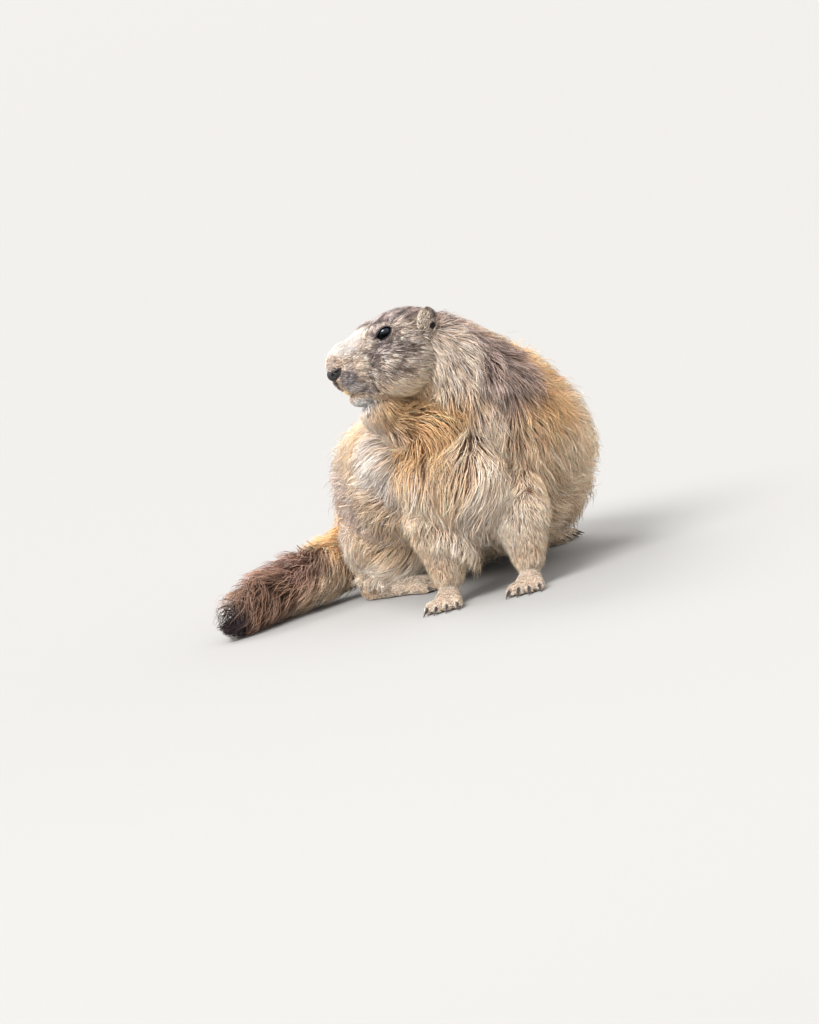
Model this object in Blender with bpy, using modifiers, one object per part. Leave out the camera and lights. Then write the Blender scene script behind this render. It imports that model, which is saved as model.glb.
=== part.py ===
"""A life-size alpine marmot, crouched on all four feet, curled to its right with its head held up.

Metres, +Z up. The origin is on the floor under the middle of the animal. The chest looks along -Y and
the tail lies out to -X. Lengths below are in millimetres, as measured on the animal, and place() turns
them into metres round the origin. The animal is modelled whole and then parted with thin cuts.
"""

import math
from collections import namedtuple

import bmesh
import bpy
import numpy as np
from mathutils import Matrix, Vector
from mathutils.bvhtree import BVHTree

MM = 0.001
MIDDLE = Vector((15.0, 73.5, 0.0))  # the middle of the animal's plan, in its own millimetres
GAP = 0.3  # between pieces that touch
UP = Vector((0, 0, 1))

# Coat up to the short depth is part of the solid core, and locks stand on the core where it is longer.
SHORT_COAT = 4.0
LOCK_SHARE = 0.63  # of what is longer, the share that the locks rise above the core

# Lengths of the body from end to end, out to the tips of the coat.
Station = namedtuple("Station", "x y z half_width half_height coat")
SPINE = (
    Station(74, -12, 206, 36, 33, 8),
    Station(82, -4, 176, 52, 49, 14),
    Station(92, 14, 140, 70, 62, 18),
    Station(96, 40, 108, 78, 72, 20),
    Station(101, 72, 95, 81, 80, 20),
    Station(103, 106, 90, 82, 82, 20),
    Station(84, 138, 86, 82, 80, 20),
    Station(50, 156, 78, 78, 74, 20),
    Station(18, 164, 62, 56, 54, 18),
)
WITHERS = (
    Station(80, 2, 200, 36, 34, 12),
    Station(94, 34, 171, 57, 48, 18),
    Station(103, 70, 141, 66, 54, 20),
    Station(105, 104, 120, 68, 60, 20),
)
RIGHT_FLANK = (
    Station(32, 2, 122, 40, 44, 16),
    Station(20, 44, 108, 46, 54, 20),
    Station(14, 92, 92, 50, 60, 20),
    Station(12, 138, 78, 52, 58, 20),
)
BREAST = (
    Station(58, -16, 134, 46, 36, 18),
    Station(60, -20, 98, 55, 46, 20),
    Station(66, -12, 66, 52, 34, 18),
)
TAIL = (
    Station(-10, 172, 46, 28, 28, 10),
    Station(-46, 160, 31, 30, 28, 14),
    Station(-86, 132, 26, 31, 27, 16),
    Station(-122, 97, 22, 27, 23, 16),
    Station(-146, 68, 13, 13, 12, 9),
)
RIGHT_THIGH = (
    Station(36, 134, 66, 44, 44, 14),
    Station(10, 122, 46, 46, 44, 12),
    Station(-8, 112, 31, 36, 31, 9),
)
LEFT_THIGH = (
    Station(66, 198, 62, 46, 48, 14),
    Station(90, 200, 46, 48, 46, 12),
    Station(108, 190, 30, 36, 31, 9),
)
RIGHT_ARM = (
    Station(44, -6, 76, 27, 27, 9),
    Station(40, -26, 44, 20, 20, 5),
    Station(38, -36, 20, 14, 14, 3.5),
)
LEFT_ARM = (
    Station(108, -22, 76, 28, 28, 9),
    Station(106, -40, 44, 20, 20, 5),
    Station(104, -50, 20, 14, 14, 3.5),
)
RUNS = (SPINE, WITHERS, RIGHT_FLANK, BREAST, TAIL, RIGHT_THIGH, LEFT_THIGH, RIGHT_ARM, LEFT_ARM)

# The head, from a point midway between the eyes: forward, to its left, and up.
BETWEEN_EYES = Vector((30.2, -25.0, 230.6))
HEAD_TURN = math.radians(15)  # from the line of -X, towards -Y
Lump = namedtuple("Lump", "centre radii")
HEAD_LUMPS = {
    "cranium": Lump((-18, 0, -10), (36, 31, 25)),
    "forehead": Lump((4, 0, -8), (27, 23, 19)),
    "bridge": Lump((22, 0, -16), (28, 15, 15)),
    "snout": Lump((36, 0, -20), (13, 11, 12)),
    "upper_lip": Lump((27, 7, -29), (17, 10.5, 13)),
    "cheek": Lump((-10, 16, -32), (33, 23, 27)),
    "cheek_front": Lump((10, 10, -26), (24, 15, 19)),
    "brow": Lump((-3, 16, 1), (14, 10.5, 9.5)),
    "chin": Lump((20, 0, -49), (13, 9.5, 9)),
    "jaw": Lump((0, 0, -43), (28, 23, 17)),
    "throat": Lump((-30, 0, -40), (32, 36, 32)),
    "occiput": Lump((-46, 0, -24), (28, 33, 29)),
}
HEAD_LINE = (45, 20, -5, -30, -55)  # forward of the eyes, from the nose to the back of the head
EYE = Lump((0, 22.6, 0), (6.4, 6.4, 6.4))
EYE_LOOK = Vector((0.25, 0.95, 0.12)).normalized()
LIDS = Lump((0, 22.0, 0), (8.6, 7.6, 7.4))  # the mound of the lids, open where the eye shows
LID_OPENING = (5.6, 4.3)  # half its length and half its height, on the eye
NOSE = Lump((43.5, 0, -21.5), (6, 7, 6.5))
NOSTRIL = Lump((48, 4.6, -21.5), (4, 2.0, 2.6))
MOUTH_LINE = ((38, 0, -42), (34, 6, -43), (28, 10, -43.5), (21, 14, -42), (14, 17, -39))
MOUTH_GAP = Lump((35, 0, -43.5), (8, 6.5, 2.2))
LIP_SPLIT = ((48, 0, -28), (45, 0, -34), (41, 0, -39), (38, 0, -42))
GROOVE = 1.1
INCISOR = Lump((32.5, 1.9, -42), (2.8, 1.7, 7))
EAR = Lump((-36, 30, -1), (9.5, 5.0, 13.0))
EAR_CUP = Lump((-33, 34, 0), (7.2, 5.4, 9.5))
EAR_LEAN = math.radians(28)  # the top of the ear, outwards

# The four feet, from the heel to the root of the toes.
Foot = namedtuple("Foot", "heel toes half_width height digits digit_length claw")
FEET = {
    "right_hind_foot": Foot((-24, 108, 0), (16, 80, 0), 13, 19, 5, 15, 9),
    "left_hind_foot": Foot((92, 206, 0), (132, 178, 0), 13, 19, 5, 15, 9),
    "right_fore_foot": Foot((38, -34, 0), (31, -60, 0), 12, 17, 4, 14, 12),
    "left_fore_foot": Foot((104, -48, 0), (98, -74, 0), 12, 17, 4, 14, 12),
}
DIGIT_RADIUS = 4.3
TOE_SPREAD = math.radians(26)
SOLE_LUMPS = (  # shares of the foot's length, height and width, from the heel to the toes
    (0.1, 0.62, 0.72),
    (0.4, 0.58, 0.85),
    (0.7, 0.5, 0.95),
    (0.95, 0.42, 1.0),
)
TOE_LUMPS = ((0.1, 1.15), (0.5, 1.25), (0.9, 0.85))  # shares of the toe's reach, and rises in radii
TOE_STRETCH, OUTER_TOE = 1.35, 0.22  # length of a toe's lumps, and what an outer toe lacks
FOOT_MARGIN = 12  # of the cut round a foot
CLAW_SIDES, CLAW_DROP, CLAW_RISE = 5, 3.2, 1.1
CLAW_RINGS = ((-0.3, 1.9), (0.3, 1.8), (0.75, 1.2), (1.0, 0.4))  # shares of the length, and radii

# Locks of the coat: how far apart they are rooted, their length, width and thickness.
LockKind = namedtuple("LockKind", "spacing length width thickness")
BODY_LOCK = LockKind(31, 56, 33, 6.0)
TAIL_LOCK = LockKind(23, 46, 25, 5.5)
LOCK_VARIETY, LOCK_TURN, LOCK_SWAY = 0.18, math.radians(14), 6.0
LOCK_RINGS = (  # shares of the length, the width, the thickness and the rise, from the root to the tip
    (-0.1, 0.55, 1.0, -0.5),
    (0.35, 1.0, 0.9, 0.45),
    (0.72, 0.72, 0.65, 0.85),
    (1.0, 0.0, 0.0, 1.0),
)
LOCK_UNDER = 0.4  # the share of a lock's thickness that lies under its middle line
LEAST_LOCK_COAT = 8.5
LOCK_FLOOR = 1.4  # the lowest that a lock's middle line runs; what reaches the floor is cut flat
LOCK_TRIES = 9000
TAIL_LIMITS = (-20.0, 75.0)  # the tail's locks grow past this X and under this height
LIE_REACH = 0.32  # how far a station's direction is felt, as a share of its size
BARE_HEAD = Lump((6, 0, -16), (60, 52, 62))
BARE_FOOT_REACH = 34.0
SEED = 7

BEYOND_SIZE = 0.6  # metres, more than the animal is long
ORDER_WAY = Vector((1, 0.6180339, 0.3819661))  # corners are sorted along it, to come out alike each time

# The balls that part the head and the limbs from the body, and the planes that part its lengths.
HEAD_CUT = Lump((-4, 0, -14), (72, 62, 54))
ARM_CUT, THIGH_CUT = (31, 34, 44), (54, 52, 54)
NECK_CUT = (Vector((92, 20, 148)), Vector((-0.15, -0.45, 0.88)))
CHEST_CUT = (Vector((102, 84, 92)), Vector((0, 1, -0.05)))
TAIL_CUT, TAIL_HEADING = Lump((-95, 120, 27), (52, 78, 46)), Vector((-0.8, -0.6, 0))

# How finely each form is fused, how often it is smoothed, and the triangles that it keeps.
Grain = namedtuple("Grain", "voxel smoothing triangles")
BODY_GRAIN, HEAD_GRAIN, FOOT_GRAIN = Grain(4.0, 16, 900), Grain(1.5, 16, 1400), Grain(1.1, 2, 280)
KEPT_SHARE = 0.83  # of a piece's triangles, once the slivers that the cuts leave are gone

Finish = namedtuple("Finish", "colour roughness")
FINISHES = {  # the first one whose name is part of the node's name
    "foot": Finish((0.42, 0.34, 0.27), 0.8),
    "head": Finish((0.20, 0.16, 0.13), 0.9),
    "neck": Finish((0.36, 0.27, 0.19), 0.9),
    "chest": Finish((0.48, 0.35, 0.22), 0.9),
    "rump": Finish((0.38, 0.29, 0.20), 0.9),
    "tail": Finish((0.16, 0.09, 0.06), 0.9),
    "leg": Finish((0.50, 0.37, 0.23), 0.9),
    "ear": Finish((0.17, 0.13, 0.11), 0.9),
    "eye": Finish((0.01, 0.01, 0.012), 0.05),
    "nose": Finish((0.09, 0.08, 0.08), 0.45),
    "incisor": Finish((0.75, 0.48, 0.12), 0.35),
}


def place(point):
    """Metres round the origin, from the animal's own millimetres."""
    return (Vector(point) - MIDDLE) * MM


def level_axes(ahead):
    """Columns that point to the right of a level direction, along it and up."""
    return Matrix((ahead.cross(UP), ahead, UP)).transposed()


def head_axes():
    """Columns that point forward, to the left and up from the head."""
    forward = Vector((-math.cos(HEAD_TURN), -math.sin(HEAD_TURN), 0))
    return Matrix((forward, UP.cross(forward), UP)).transposed()


def on_head(point):
    """The animal's millimetres, from a point in the head's own forward, left and up."""
    return BETWEEN_EYES + head_axes() @ Vector(point)


def mirrored(lump):
    """The same lump on the other side of the head."""
    forward, left, up = lump.centre
    return Lump((forward, -left, up), lump.radii)


def clear_scene():
    for obj in list(bpy.data.objects):
        bpy.data.objects.remove(obj, do_unlink=True)


def unit_ball(detail):
    """A mesh that every ellipsoid is a copy of."""
    name = f"ball_{detail}"
    if name not in bpy.data.meshes:
        bm = bmesh.new()
        bmesh.ops.create_uvsphere(bm, u_segments=detail, v_segments=detail // 2, radius=1)
        bm.to_mesh(bpy.data.meshes.new(name))
        bm.free()
    return bpy.data.meshes[name]


def add_lump(bm, centre, radii, axes=Matrix.Identity(3), detail=24):
    """A closed ellipsoid round a point of the animal, with its radii along the columns of axes."""
    ball = unit_ball(detail).copy()
    stretch = Matrix.Diagonal((*(Vector(radii) * MM), 1))
    ball.transform(Matrix.Translation(place(centre)) @ axes.to_4x4() @ stretch)
    bm.from_mesh(ball)
    bpy.data.meshes.remove(ball)


def along(stations, steps=6):
    """Stations filled in along a smooth line, each with the direction in which the line runs on."""
    rows = np.array(stations, float)
    rows = np.vstack([2 * rows[0] - rows[1], rows, 2 * rows[-1] - rows[-2]])
    filled = []
    for before, start, end, after in zip(rows, rows[1:], rows[2:], rows[3:]):
        for t in np.linspace(0, 1, steps, endpoint=False):
            bend, twist = 2 * before - 5 * start + 4 * end - after, 3 * start - before - 3 * end + after
            point = start + 0.5 * ((end - before) * t + bend * t**2 + twist * t**3)
            slope = 0.5 * (end - before) + bend * t + 1.5 * twist * t**2
            filled.append((Station(*point), Vector(slope[:3]).normalized()))
    filled.append((Station(*rows[-2]), filled[-1][1]))
    return filled


def lock_rise(coat):
    """How far the tips of the locks stand above the core."""
    return LOCK_SHARE * max(0, coat - SHORT_COAT)


def add_run(bm, stations):
    """Overlapping ellipsoids along the stations."""
    for station, ahead in along(stations):
        across = ahead.cross(UP).normalized()
        axes = Matrix((across, ahead, across.cross(ahead))).transposed()
        inset = lock_rise(station.coat)
        width, height = station.half_width - inset, station.half_height - inset
        add_lump(bm, station[:3], (width, 0.7 * min(width, height), height), axes)


def object_from(bm, name):
    mesh = bpy.data.meshes.new(name)
    bm.to_mesh(mesh)
    bm.free()
    obj = bpy.data.objects.new(name, mesh)
    bpy.context.scene.collection.objects.link(obj)
    return obj


def ball(name, centre, radii, axes=Matrix.Identity(3), grow=0.0, detail=24):
    """An ellipsoid as an object, made bigger all round by grow."""
    bm = bmesh.new()
    add_lump(bm, centre, Vector(radii) + Vector((grow, grow, grow)), axes, detail)
    return object_from(bm, name)


def head_ball(name, lump, grow=0.0, detail=24, lean=0.0):
    """An ellipsoid of the head as an object, leaning outwards at the top."""
    side = 1 if lump.centre[1] > 0 else -1
    axes = head_axes() @ Matrix.Rotation(-side * lean, 3, "X")
    return ball(name, on_head(lump.centre), lump.radii, axes, grow, detail)


def apply_modifiers(obj):
    bpy.context.view_layer.update()
    evaluated = obj.evaluated_get(bpy.context.evaluated_depsgraph_get())
    mesh = bpy.data.meshes.new_from_object(evaluated)
    obj.modifiers.clear()
    obj.data = mesh


def fuse(obj, grain):
    """Makes the overlapping lumps of an object one smooth closed surface."""
    remesh = obj.modifiers.new("fuse", "REMESH")
    remesh.mode = "VOXEL"
    remesh.voxel_size = grain.voxel * MM
    smooth = obj.modifiers.new("smooth", "SMOOTH")
    smooth.factor = 0.5
    smooth.iterations = grain.smoothing
    apply_modifiers(obj)
    obj.data.calc_loop_triangles()
    thin_out(obj, min(1.0, grain.triangles / len(obj.data.loop_triangles)))


def thin_out(obj, ratio):
    """Fewer triangles, kept where the surface bends most."""
    decimate = obj.modifiers.new("thin_out", "DECIMATE")
    decimate.ratio = ratio
    apply_modifiers(obj)


def combine(obj, operation, others):
    """Joins the other closed objects to this one, or cuts with them, and removes them.

    The manifold solver is used because the exact one is slow on the hundreds of crossing locks.
    """
    tools = bpy.data.collections.new("tools")
    for other in others:
        tools.objects.link(other)
    boolean = obj.modifiers.new("combine", "BOOLEAN")
    boolean.operation = operation
    boolean.operand_type = "COLLECTION"
    boolean.collection = tools
    boolean.solver = "MANIFOLD"
    apply_modifiers(obj)
    for other in others:
        bpy.data.objects.remove(other)
    bpy.data.collections.remove(tools)


def keep_largest(obj):
    """Drops every closed surface of an object but the one that holds most, and sorts what is left."""
    bm = bmesh.new()
    bm.from_mesh(obj.data)
    bmesh.ops.triangulate(bm, faces=bm.faces)
    bmesh.ops.dissolve_degenerate(bm, edges=bm.edges, dist=1e-6)
    bmesh.ops.triangulate(bm, faces=bm.faces)
    pending, shells = set(bm.verts), []
    while pending:
        stack, shell = [pending.pop()], set()
        while stack:
            vert = stack.pop()
            shell.add(vert)
            for edge in vert.link_edges:
                other = edge.other_vert(vert)
                if other in pending:
                    pending.remove(other)
                    stack.append(other)
        shells.append(shell)
    largest = max(shells, key=shell_volume)
    bmesh.ops.delete(bm, geom=[vert for vert in bm.verts if vert not in largest], context="VERTS")
    bm.verts.sort(key=lambda vert: vert.co.dot(ORDER_WAY))
    bm.faces.sort(key=lambda face: face.calc_center_median().dot(ORDER_WAY))
    bm.to_mesh(obj.data)
    bm.free()


def shell_volume(shell):
    """The volume inside a closed surface of triangles, from its vertices."""
    faces = {face for vert in shell for face in vert.link_faces}
    corners = ([vert.co for vert in face.verts] for face in faces)
    return sum(a.dot(b.cross(c)) for a, b, c in corners) / 6


def make_runs():
    """The trunk, tail and limbs without their feet."""
    bm = bmesh.new()
    for run in RUNS:
        add_run(bm, run)
    body = object_from(bm, "body")
    fuse(body, BODY_GRAIN)
    return body


class Lie:
    """The direction of the coat, from the runs of stations near a point."""

    def __init__(self):
        head = [Station(*on_head((reach, 0, -22)), 30, 30, SHORT_COAT) for reach in HEAD_LINE]
        filled = [entry for run in (*RUNS, head) for entry in along(run)]
        self.centres = np.array([station[:3] for station, _ in filled])
        self.radii = np.array([(station.half_width + station.half_height) / 2 for station, _ in filled])
        self.coats = np.array([station.coat for station, _ in filled])
        self.ways = np.array([ahead[:] for _, ahead in filled])

    def at(self, point):
        """The coat's depth at a point of the animal and its way, before that follows the surface."""
        near = np.linalg.norm(self.centres - np.array(point[:]), axis=1) / self.radii
        weights = np.exp((near.min() / LIE_REACH) ** 2 - (near / LIE_REACH) ** 2)
        weights /= weights.sum()
        return Vector(weights @ self.ways), float(weights @ self.coats)


def lock_roots(surface_mesh, lie, rng):
    """Points spread evenly over the coat, each with its surface normal and kind of lock."""
    surface_mesh.calc_loop_triangles()
    places = [vertex.co[:] for vertex in surface_mesh.vertices]
    corners = np.array([[places[i] for i in tri.vertices] for tri in surface_mesh.loop_triangles])
    normals = np.cross(corners[:, 1] - corners[:, 0], corners[:, 2] - corners[:, 0])
    areas = np.linalg.norm(normals, axis=1)
    bare_axes = head_axes().transposed()
    roots = []
    for index in rng.choice(len(corners), size=LOCK_TRIES, p=areas / areas.sum()):
        first, second = rng.random(2)
        if first + second > 1:
            first, second = 1 - first, 1 - second
        a, b, c = corners[index]
        point = Vector(a + first * (b - a) + second * (c - a)) / MM + MIDDLE
        kind = TAIL_LOCK if point.x < TAIL_LIMITS[0] and point.z < TAIL_LIMITS[1] else BODY_LOCK
        if any((point - other).length < kind.spacing for other, _, _ in roots):
            continue
        local = bare_axes @ (point - BETWEEN_EYES) - Vector(BARE_HEAD.centre)
        if sum((local[i] / BARE_HEAD.radii[i]) ** 2 for i in range(3)) < 1:
            continue
        if lie.at(point)[1] < LEAST_LOCK_COAT or near_a_foot(point):
            continue
        roots.append((point, Vector(normals[index] / areas[index]), kind))
    return roots


def near_a_foot(point):
    """Whether a point is too close to a foot's middle line for a lock."""
    for foot in FEET.values():
        heel, toes = Vector(foot.heel), Vector(foot.toes)
        share = max(0, min(1, (point - heel).dot(toes - heel) / (toes - heel).length_squared))
        if (point - heel.lerp(toes, share)).length < BARE_FOOT_REACH:
            return True
    return False


def lock(root, normal, kind, lie, surface, rng):
    """One flat, tapered lock, rooted in the core, that follows the surface and rises to its tip."""
    size = 1 + LOCK_VARIETY * rng.uniform(-1, 1)
    length, width = kind.length * size, kind.width * (1 + LOCK_VARIETY * rng.uniform(-1, 1))
    turn, sway = LOCK_TURN * rng.uniform(-1, 1), LOCK_SWAY * rng.uniform(-1, 1)
    rise = lock_rise(lie.at(root)[1]) * (1 + LOCK_VARIETY * rng.uniform(-1, 1))
    sections, point, done = [], root, 0.0
    for share, wide, thick, high in LOCK_RINGS:
        way = lie.at(point)[0]
        way = Matrix.Rotation(turn, 3, normal) @ (way - normal * way.dot(normal)).normalized()
        near, normal, _, _ = surface.find_nearest(place(point + way * (share - done) * length))
        point, done = near / MM + MIDDLE, share
        side = way.cross(normal).normalized()
        centre = point + normal * rise * high + side * sway * max(0, share) ** 2
        if high < 0:
            centre = point - normal * kind.thickness
        centre.z = max(centre.z, LOCK_FLOOR)
        half, depth = side * width * wide / 2, normal * kind.thickness * thick
        under, over = depth * -LOCK_UNDER, depth * (1 - LOCK_UNDER)
        sections.append((centre - half + under, centre + half + under, centre + over) if wide else (centre,))
    return loft("lock", sections)


def grow_locks(whole):
    """Covers the coat with overlapping locks, fused to the body."""
    rng = np.random.default_rng(SEED)
    lie = Lie()
    surface = BVHTree.FromObject(whole, bpy.context.evaluated_depsgraph_get())
    roots = lock_roots(whole.data, lie, rng)
    combine(whole, "UNION", [lock(*root, lie, surface, rng) for root in roots])


def groove(name, path, surface):
    """A round cutter of the groove's width that follows a path along a surface."""
    curve = bpy.data.curves.new(name, "CURVE")
    curve.dimensions = "3D"
    curve.bevel_depth = GROOVE * MM
    curve.bevel_resolution = 1
    curve.use_fill_caps = True
    spline = curve.splines.new("POLY")
    points = [surface.find_nearest(place(on_head(point)))[0] for point in path]
    spline.points.add(len(points) - 1)
    for knot, point in zip(spline.points, points):
        knot.co = (*point, 1)
    line = bpy.data.objects.new(name, curve)
    bpy.context.scene.collection.objects.link(line)
    bpy.context.view_layer.update()
    mesh = bpy.data.meshes.new_from_object(line.evaluated_get(bpy.context.evaluated_depsgraph_get()))
    bpy.data.objects.remove(line)
    bm = bmesh.new()
    bm.from_mesh(mesh)
    bmesh.ops.remove_doubles(bm, verts=bm.verts, dist=0.00001)
    bmesh.ops.recalc_face_normals(bm, faces=bm.faces)
    return object_from(bm, name)


def lid_opening(eye):
    """A cutter for the almond between the lids of one eye, long to the front and back."""
    side = 1 if eye.centre[1] > 0 else -1
    look = head_axes() @ Vector((EYE_LOOK.x, side * EYE_LOOK.y, EYE_LOOK.z))
    turn = look.to_track_quat("Y", "Z").to_matrix()
    long, high = LID_OPENING
    centre = on_head(eye.centre) + look * eye.radii[0]
    return ball("lid_opening", centre, (long, eye.radii[0], high), turn, 0, 14)


def make_head():
    """The head, with the lids, the mouth line, and hollows for what fits into it."""
    bm = bmesh.new()
    for lump in (*HEAD_LUMPS.values(), LIDS):
        add_lump(bm, on_head(lump.centre), lump.radii, head_axes())
        if lump.centre[1]:
            add_lump(bm, on_head(mirrored(lump).centre), lump.radii, head_axes())
    head = object_from(bm, "head")
    fuse(head, HEAD_GRAIN)
    surface = BVHTree.FromObject(head, bpy.context.evaluated_depsgraph_get())
    cutters = [head_ball("mouth_gap", MOUTH_GAP, detail=16)]
    cutters += [lid_opening(eye) for eye in (EYE, mirrored(EYE))]
    right_line = [(forward, -side, up) for forward, side, up in MOUTH_LINE]
    cutters += [groove("mouth_line", line, surface) for line in (MOUTH_LINE, right_line, LIP_SPLIT)]
    combine(head, "DIFFERENCE", cutters)
    return head


def make_foot(name, foot):
    """A foot with its toes and claws, on the floor."""
    heel, toes = Vector(foot.heel), Vector(foot.toes)
    ahead = (toes - heel).normalized()
    across, axes = ahead.cross(UP), level_axes(ahead)
    length = (toes - heel).length
    bm = bmesh.new()
    for share, height, width in SOLE_LUMPS:
        rise = foot.height * height
        radii = (foot.half_width * width, length * 0.32, rise)
        add_lump(bm, heel.lerp(toes, share) + UP * rise * 0.8, radii, axes)
    claws = []
    for number in range(foot.digits):
        offset = 2 * number / (foot.digits - 1) - 1
        way = Matrix.Rotation(-offset * TOE_SPREAD / 2, 3, "Z") @ ahead
        root = toes + across * offset * (foot.half_width - DIGIT_RADIUS * 0.6)
        reach = foot.digit_length * (1 - OUTER_TOE * abs(offset) ** 1.5)
        for share, rise in TOE_LUMPS:
            centre = root + way * reach * share + UP * DIGIT_RADIUS * rise
            radii = (DIGIT_RADIUS, DIGIT_RADIUS * TOE_STRETCH, DIGIT_RADIUS)
            add_lump(bm, centre, radii, level_axes(way), 16)
        claws.append(claw(root + way * (reach + 1) + UP * DIGIT_RADIUS * CLAW_RISE, way, foot.claw))
    pad = object_from(bm, name)
    fuse(pad, FOOT_GRAIN)
    combine(pad, "UNION", claws)
    return pad


def loft(name, sections):
    """A closed solid through sections with the same number of corners; the last may be a single point."""
    bm = bmesh.new()
    loops = [[bm.verts.new(place(corner)) for corner in section] for section in sections]
    for lower, upper in zip(loops, loops[1:]):
        for corner in range(len(lower)):
            after = (corner + 1) % len(lower)
            if len(upper) == 1:
                bm.faces.new((lower[corner], lower[after], upper[0]))
            else:
                bm.faces.new((lower[corner], lower[after], upper[after], upper[corner]))
    bm.faces.new(loops[0][::-1])
    if len(loops[-1]) > 1:
        bm.faces.new(loops[-1])
    bmesh.ops.triangulate(bm, faces=bm.faces)
    bmesh.ops.recalc_face_normals(bm, faces=bm.faces)
    return object_from(bm, name)


def claw(root, way, length):
    """One curved claw, a cone bent down towards its tip, from a root sunk in the toe."""
    side, sections = way.cross(UP), []
    for share, radius in CLAW_RINGS:
        centre = root + way * share * length - UP * CLAW_DROP * max(0, share) ** 2
        turns = [math.tau * corner / CLAW_SIDES for corner in range(CLAW_SIDES)]
        sections.append([centre + (side * math.cos(a) * 0.8 + UP * math.sin(a)) * radius for a in turns])
    return loft("claw", sections)


def duplicate(obj, name):
    copy = bpy.data.objects.new(name, obj.data.copy())
    bpy.context.scene.collection.objects.link(copy)
    return copy


def part_off(whole, name, centre, radii, axes=Matrix.Identity(3), detail=10):
    """Makes what lies inside a ball a piece of its own, with a thin gap round it."""
    piece = duplicate(whole, name)
    combine(piece, "INTERSECT", [ball("inside", centre, radii, axes, 0, detail)])
    combine(whole, "DIFFERENCE", [ball("outside", centre, radii, axes, GAP, detail)])
    keep_largest(piece)
    keep_largest(whole)
    return piece


def beyond(plane, shift):
    """A box that fills everything on the far side of a plane."""
    point, normal = plane
    size = BEYOND_SIZE
    turn = normal.to_track_quat("Z", "Y").to_matrix().to_4x4()
    bm = bmesh.new()
    bmesh.ops.create_cube(bm, size=size)
    centre = place(point) + normal.normalized() * (size / 2 + shift * MM)
    bmesh.ops.transform(bm, matrix=Matrix.Translation(centre) @ turn, verts=bm.verts)
    return object_from(bm, "beyond")


def split(whole, name, plane):
    """Makes what lies beyond a plane a piece of its own, with a thin gap before it."""
    piece = duplicate(whole, name)
    combine(piece, "INTERSECT", [beyond(plane, GAP / 2)])
    combine(whole, "DIFFERENCE", [beyond(plane, -GAP / 2)])
    keep_largest(piece)
    keep_largest(whole)
    return piece


def make_whole():
    """The whole animal but for its ears, eyes, nose and teeth, cut flat at the floor."""
    whole = make_runs()
    combine(whole, "UNION", [make_head()] + [make_foot(name, foot) for name, foot in FEET.items()])
    grow_locks(whole)
    floor = (Vector((0, 0, 0)), -UP)
    seats = [head_ball("socket", eye, GAP, 14) for eye in (EYE, mirrored(EYE))]
    seats += [head_ball("ear_seat", ear, GAP, 12, EAR_LEAN) for ear in (EAR, mirrored(EAR))]
    seats += [head_ball("nose_seat", NOSE, GAP, 12)]
    seats += [head_ball("tooth_seat", tooth, GAP, 8) for tooth in (INCISOR, mirrored(INCISOR))]
    combine(whole, "DIFFERENCE", [beyond(floor, 0)] + seats)
    keep_largest(whole)
    return whole


def make_small_parts():
    """The eyes, ears, nose pad and incisors, in their seats."""
    for side in ("left", "right"):
        lumps = (EYE, EAR, EAR_CUP, INCISOR)
        eye, ear, cup, tooth = lumps if side == "left" else map(mirrored, lumps)
        head_ball(f"eye_{side}", eye, detail=14)
        flap = head_ball(f"ear_{side}", ear, detail=12, lean=EAR_LEAN)
        combine(flap, "DIFFERENCE", [head_ball("cup", cup, detail=12, lean=EAR_LEAN)])
        head_ball(f"incisor_{side}", tooth, detail=8)
    nose = head_ball("nose", NOSE, detail=12)
    nostrils = [head_ball("nostril", lump, detail=8) for lump in (NOSTRIL, mirrored(NOSTRIL))]
    combine(nose, "DIFFERENCE", nostrils)


def make_pieces(whole):
    """Parts the whole animal into its named pieces."""
    part_off(whole, "head", on_head(HEAD_CUT.centre), HEAD_CUT.radii, head_axes(), 16)
    part_off(whole, "tail", TAIL_CUT.centre, TAIL_CUT.radii, level_axes(TAIL_HEADING))
    for name, foot in FEET.items():
        heel, toes = Vector(foot.heel), Vector(foot.toes)
        ahead = (toes - heel).normalized()
        beyond_toes = foot.digit_length + foot.claw
        reach = (toes - heel).length / 2 + beyond_toes + FOOT_MARGIN / 2
        centre = (heel + toes) / 2 + ahead * beyond_toes / 2
        radii = (foot.half_width + FOOT_MARGIN, reach, foot.height + FOOT_MARGIN * 0.7)
        part_off(whole, name, centre, radii, level_axes(ahead))
    for name, run, radii in (
        ("right_foreleg", RIGHT_ARM, ARM_CUT),
        ("left_foreleg", LEFT_ARM, ARM_CUT),
        ("right_hind_leg", RIGHT_THIGH, THIGH_CUT),
        ("left_hind_leg", LEFT_THIGH, THIGH_CUT),
    ):
        middle = run[1]
        part_off(whole, name, middle[:3], radii)
    split(whole, "rump", CHEST_CUT)
    split(whole, "neck", NECK_CUT)
    whole.name = "chest"
    for piece in bpy.context.scene.collection.objects:
        thin_out(piece, KEPT_SHARE)
        keep_largest(piece)


def finish_pieces():
    """Gives each piece its own material and gathers them in one collection."""
    collection = bpy.data.collections.new("alpine_marmot")
    bpy.context.scene.collection.children.link(collection)
    for obj in list(bpy.context.scene.collection.objects):
        finish = next(finish for word, finish in FINISHES.items() if word in obj.name)
        material = bpy.data.materials.new(obj.name)
        material.use_nodes = True
        shader = material.node_tree.nodes["Principled BSDF"]
        shader.inputs["Base Color"].default_value = (*finish.colour, 1)
        shader.inputs["Roughness"].default_value = finish.roughness
        obj.data.materials.clear()
        obj.data.materials.append(material)
        obj.data.shade_smooth()
        obj.data.set_sharp_from_angle(angle=math.radians(50))
        bpy.context.scene.collection.objects.unlink(obj)
        collection.objects.link(obj)


clear_scene()
animal = make_whole()
make_pieces(animal)
make_small_parts()
finish_pieces()
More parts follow.
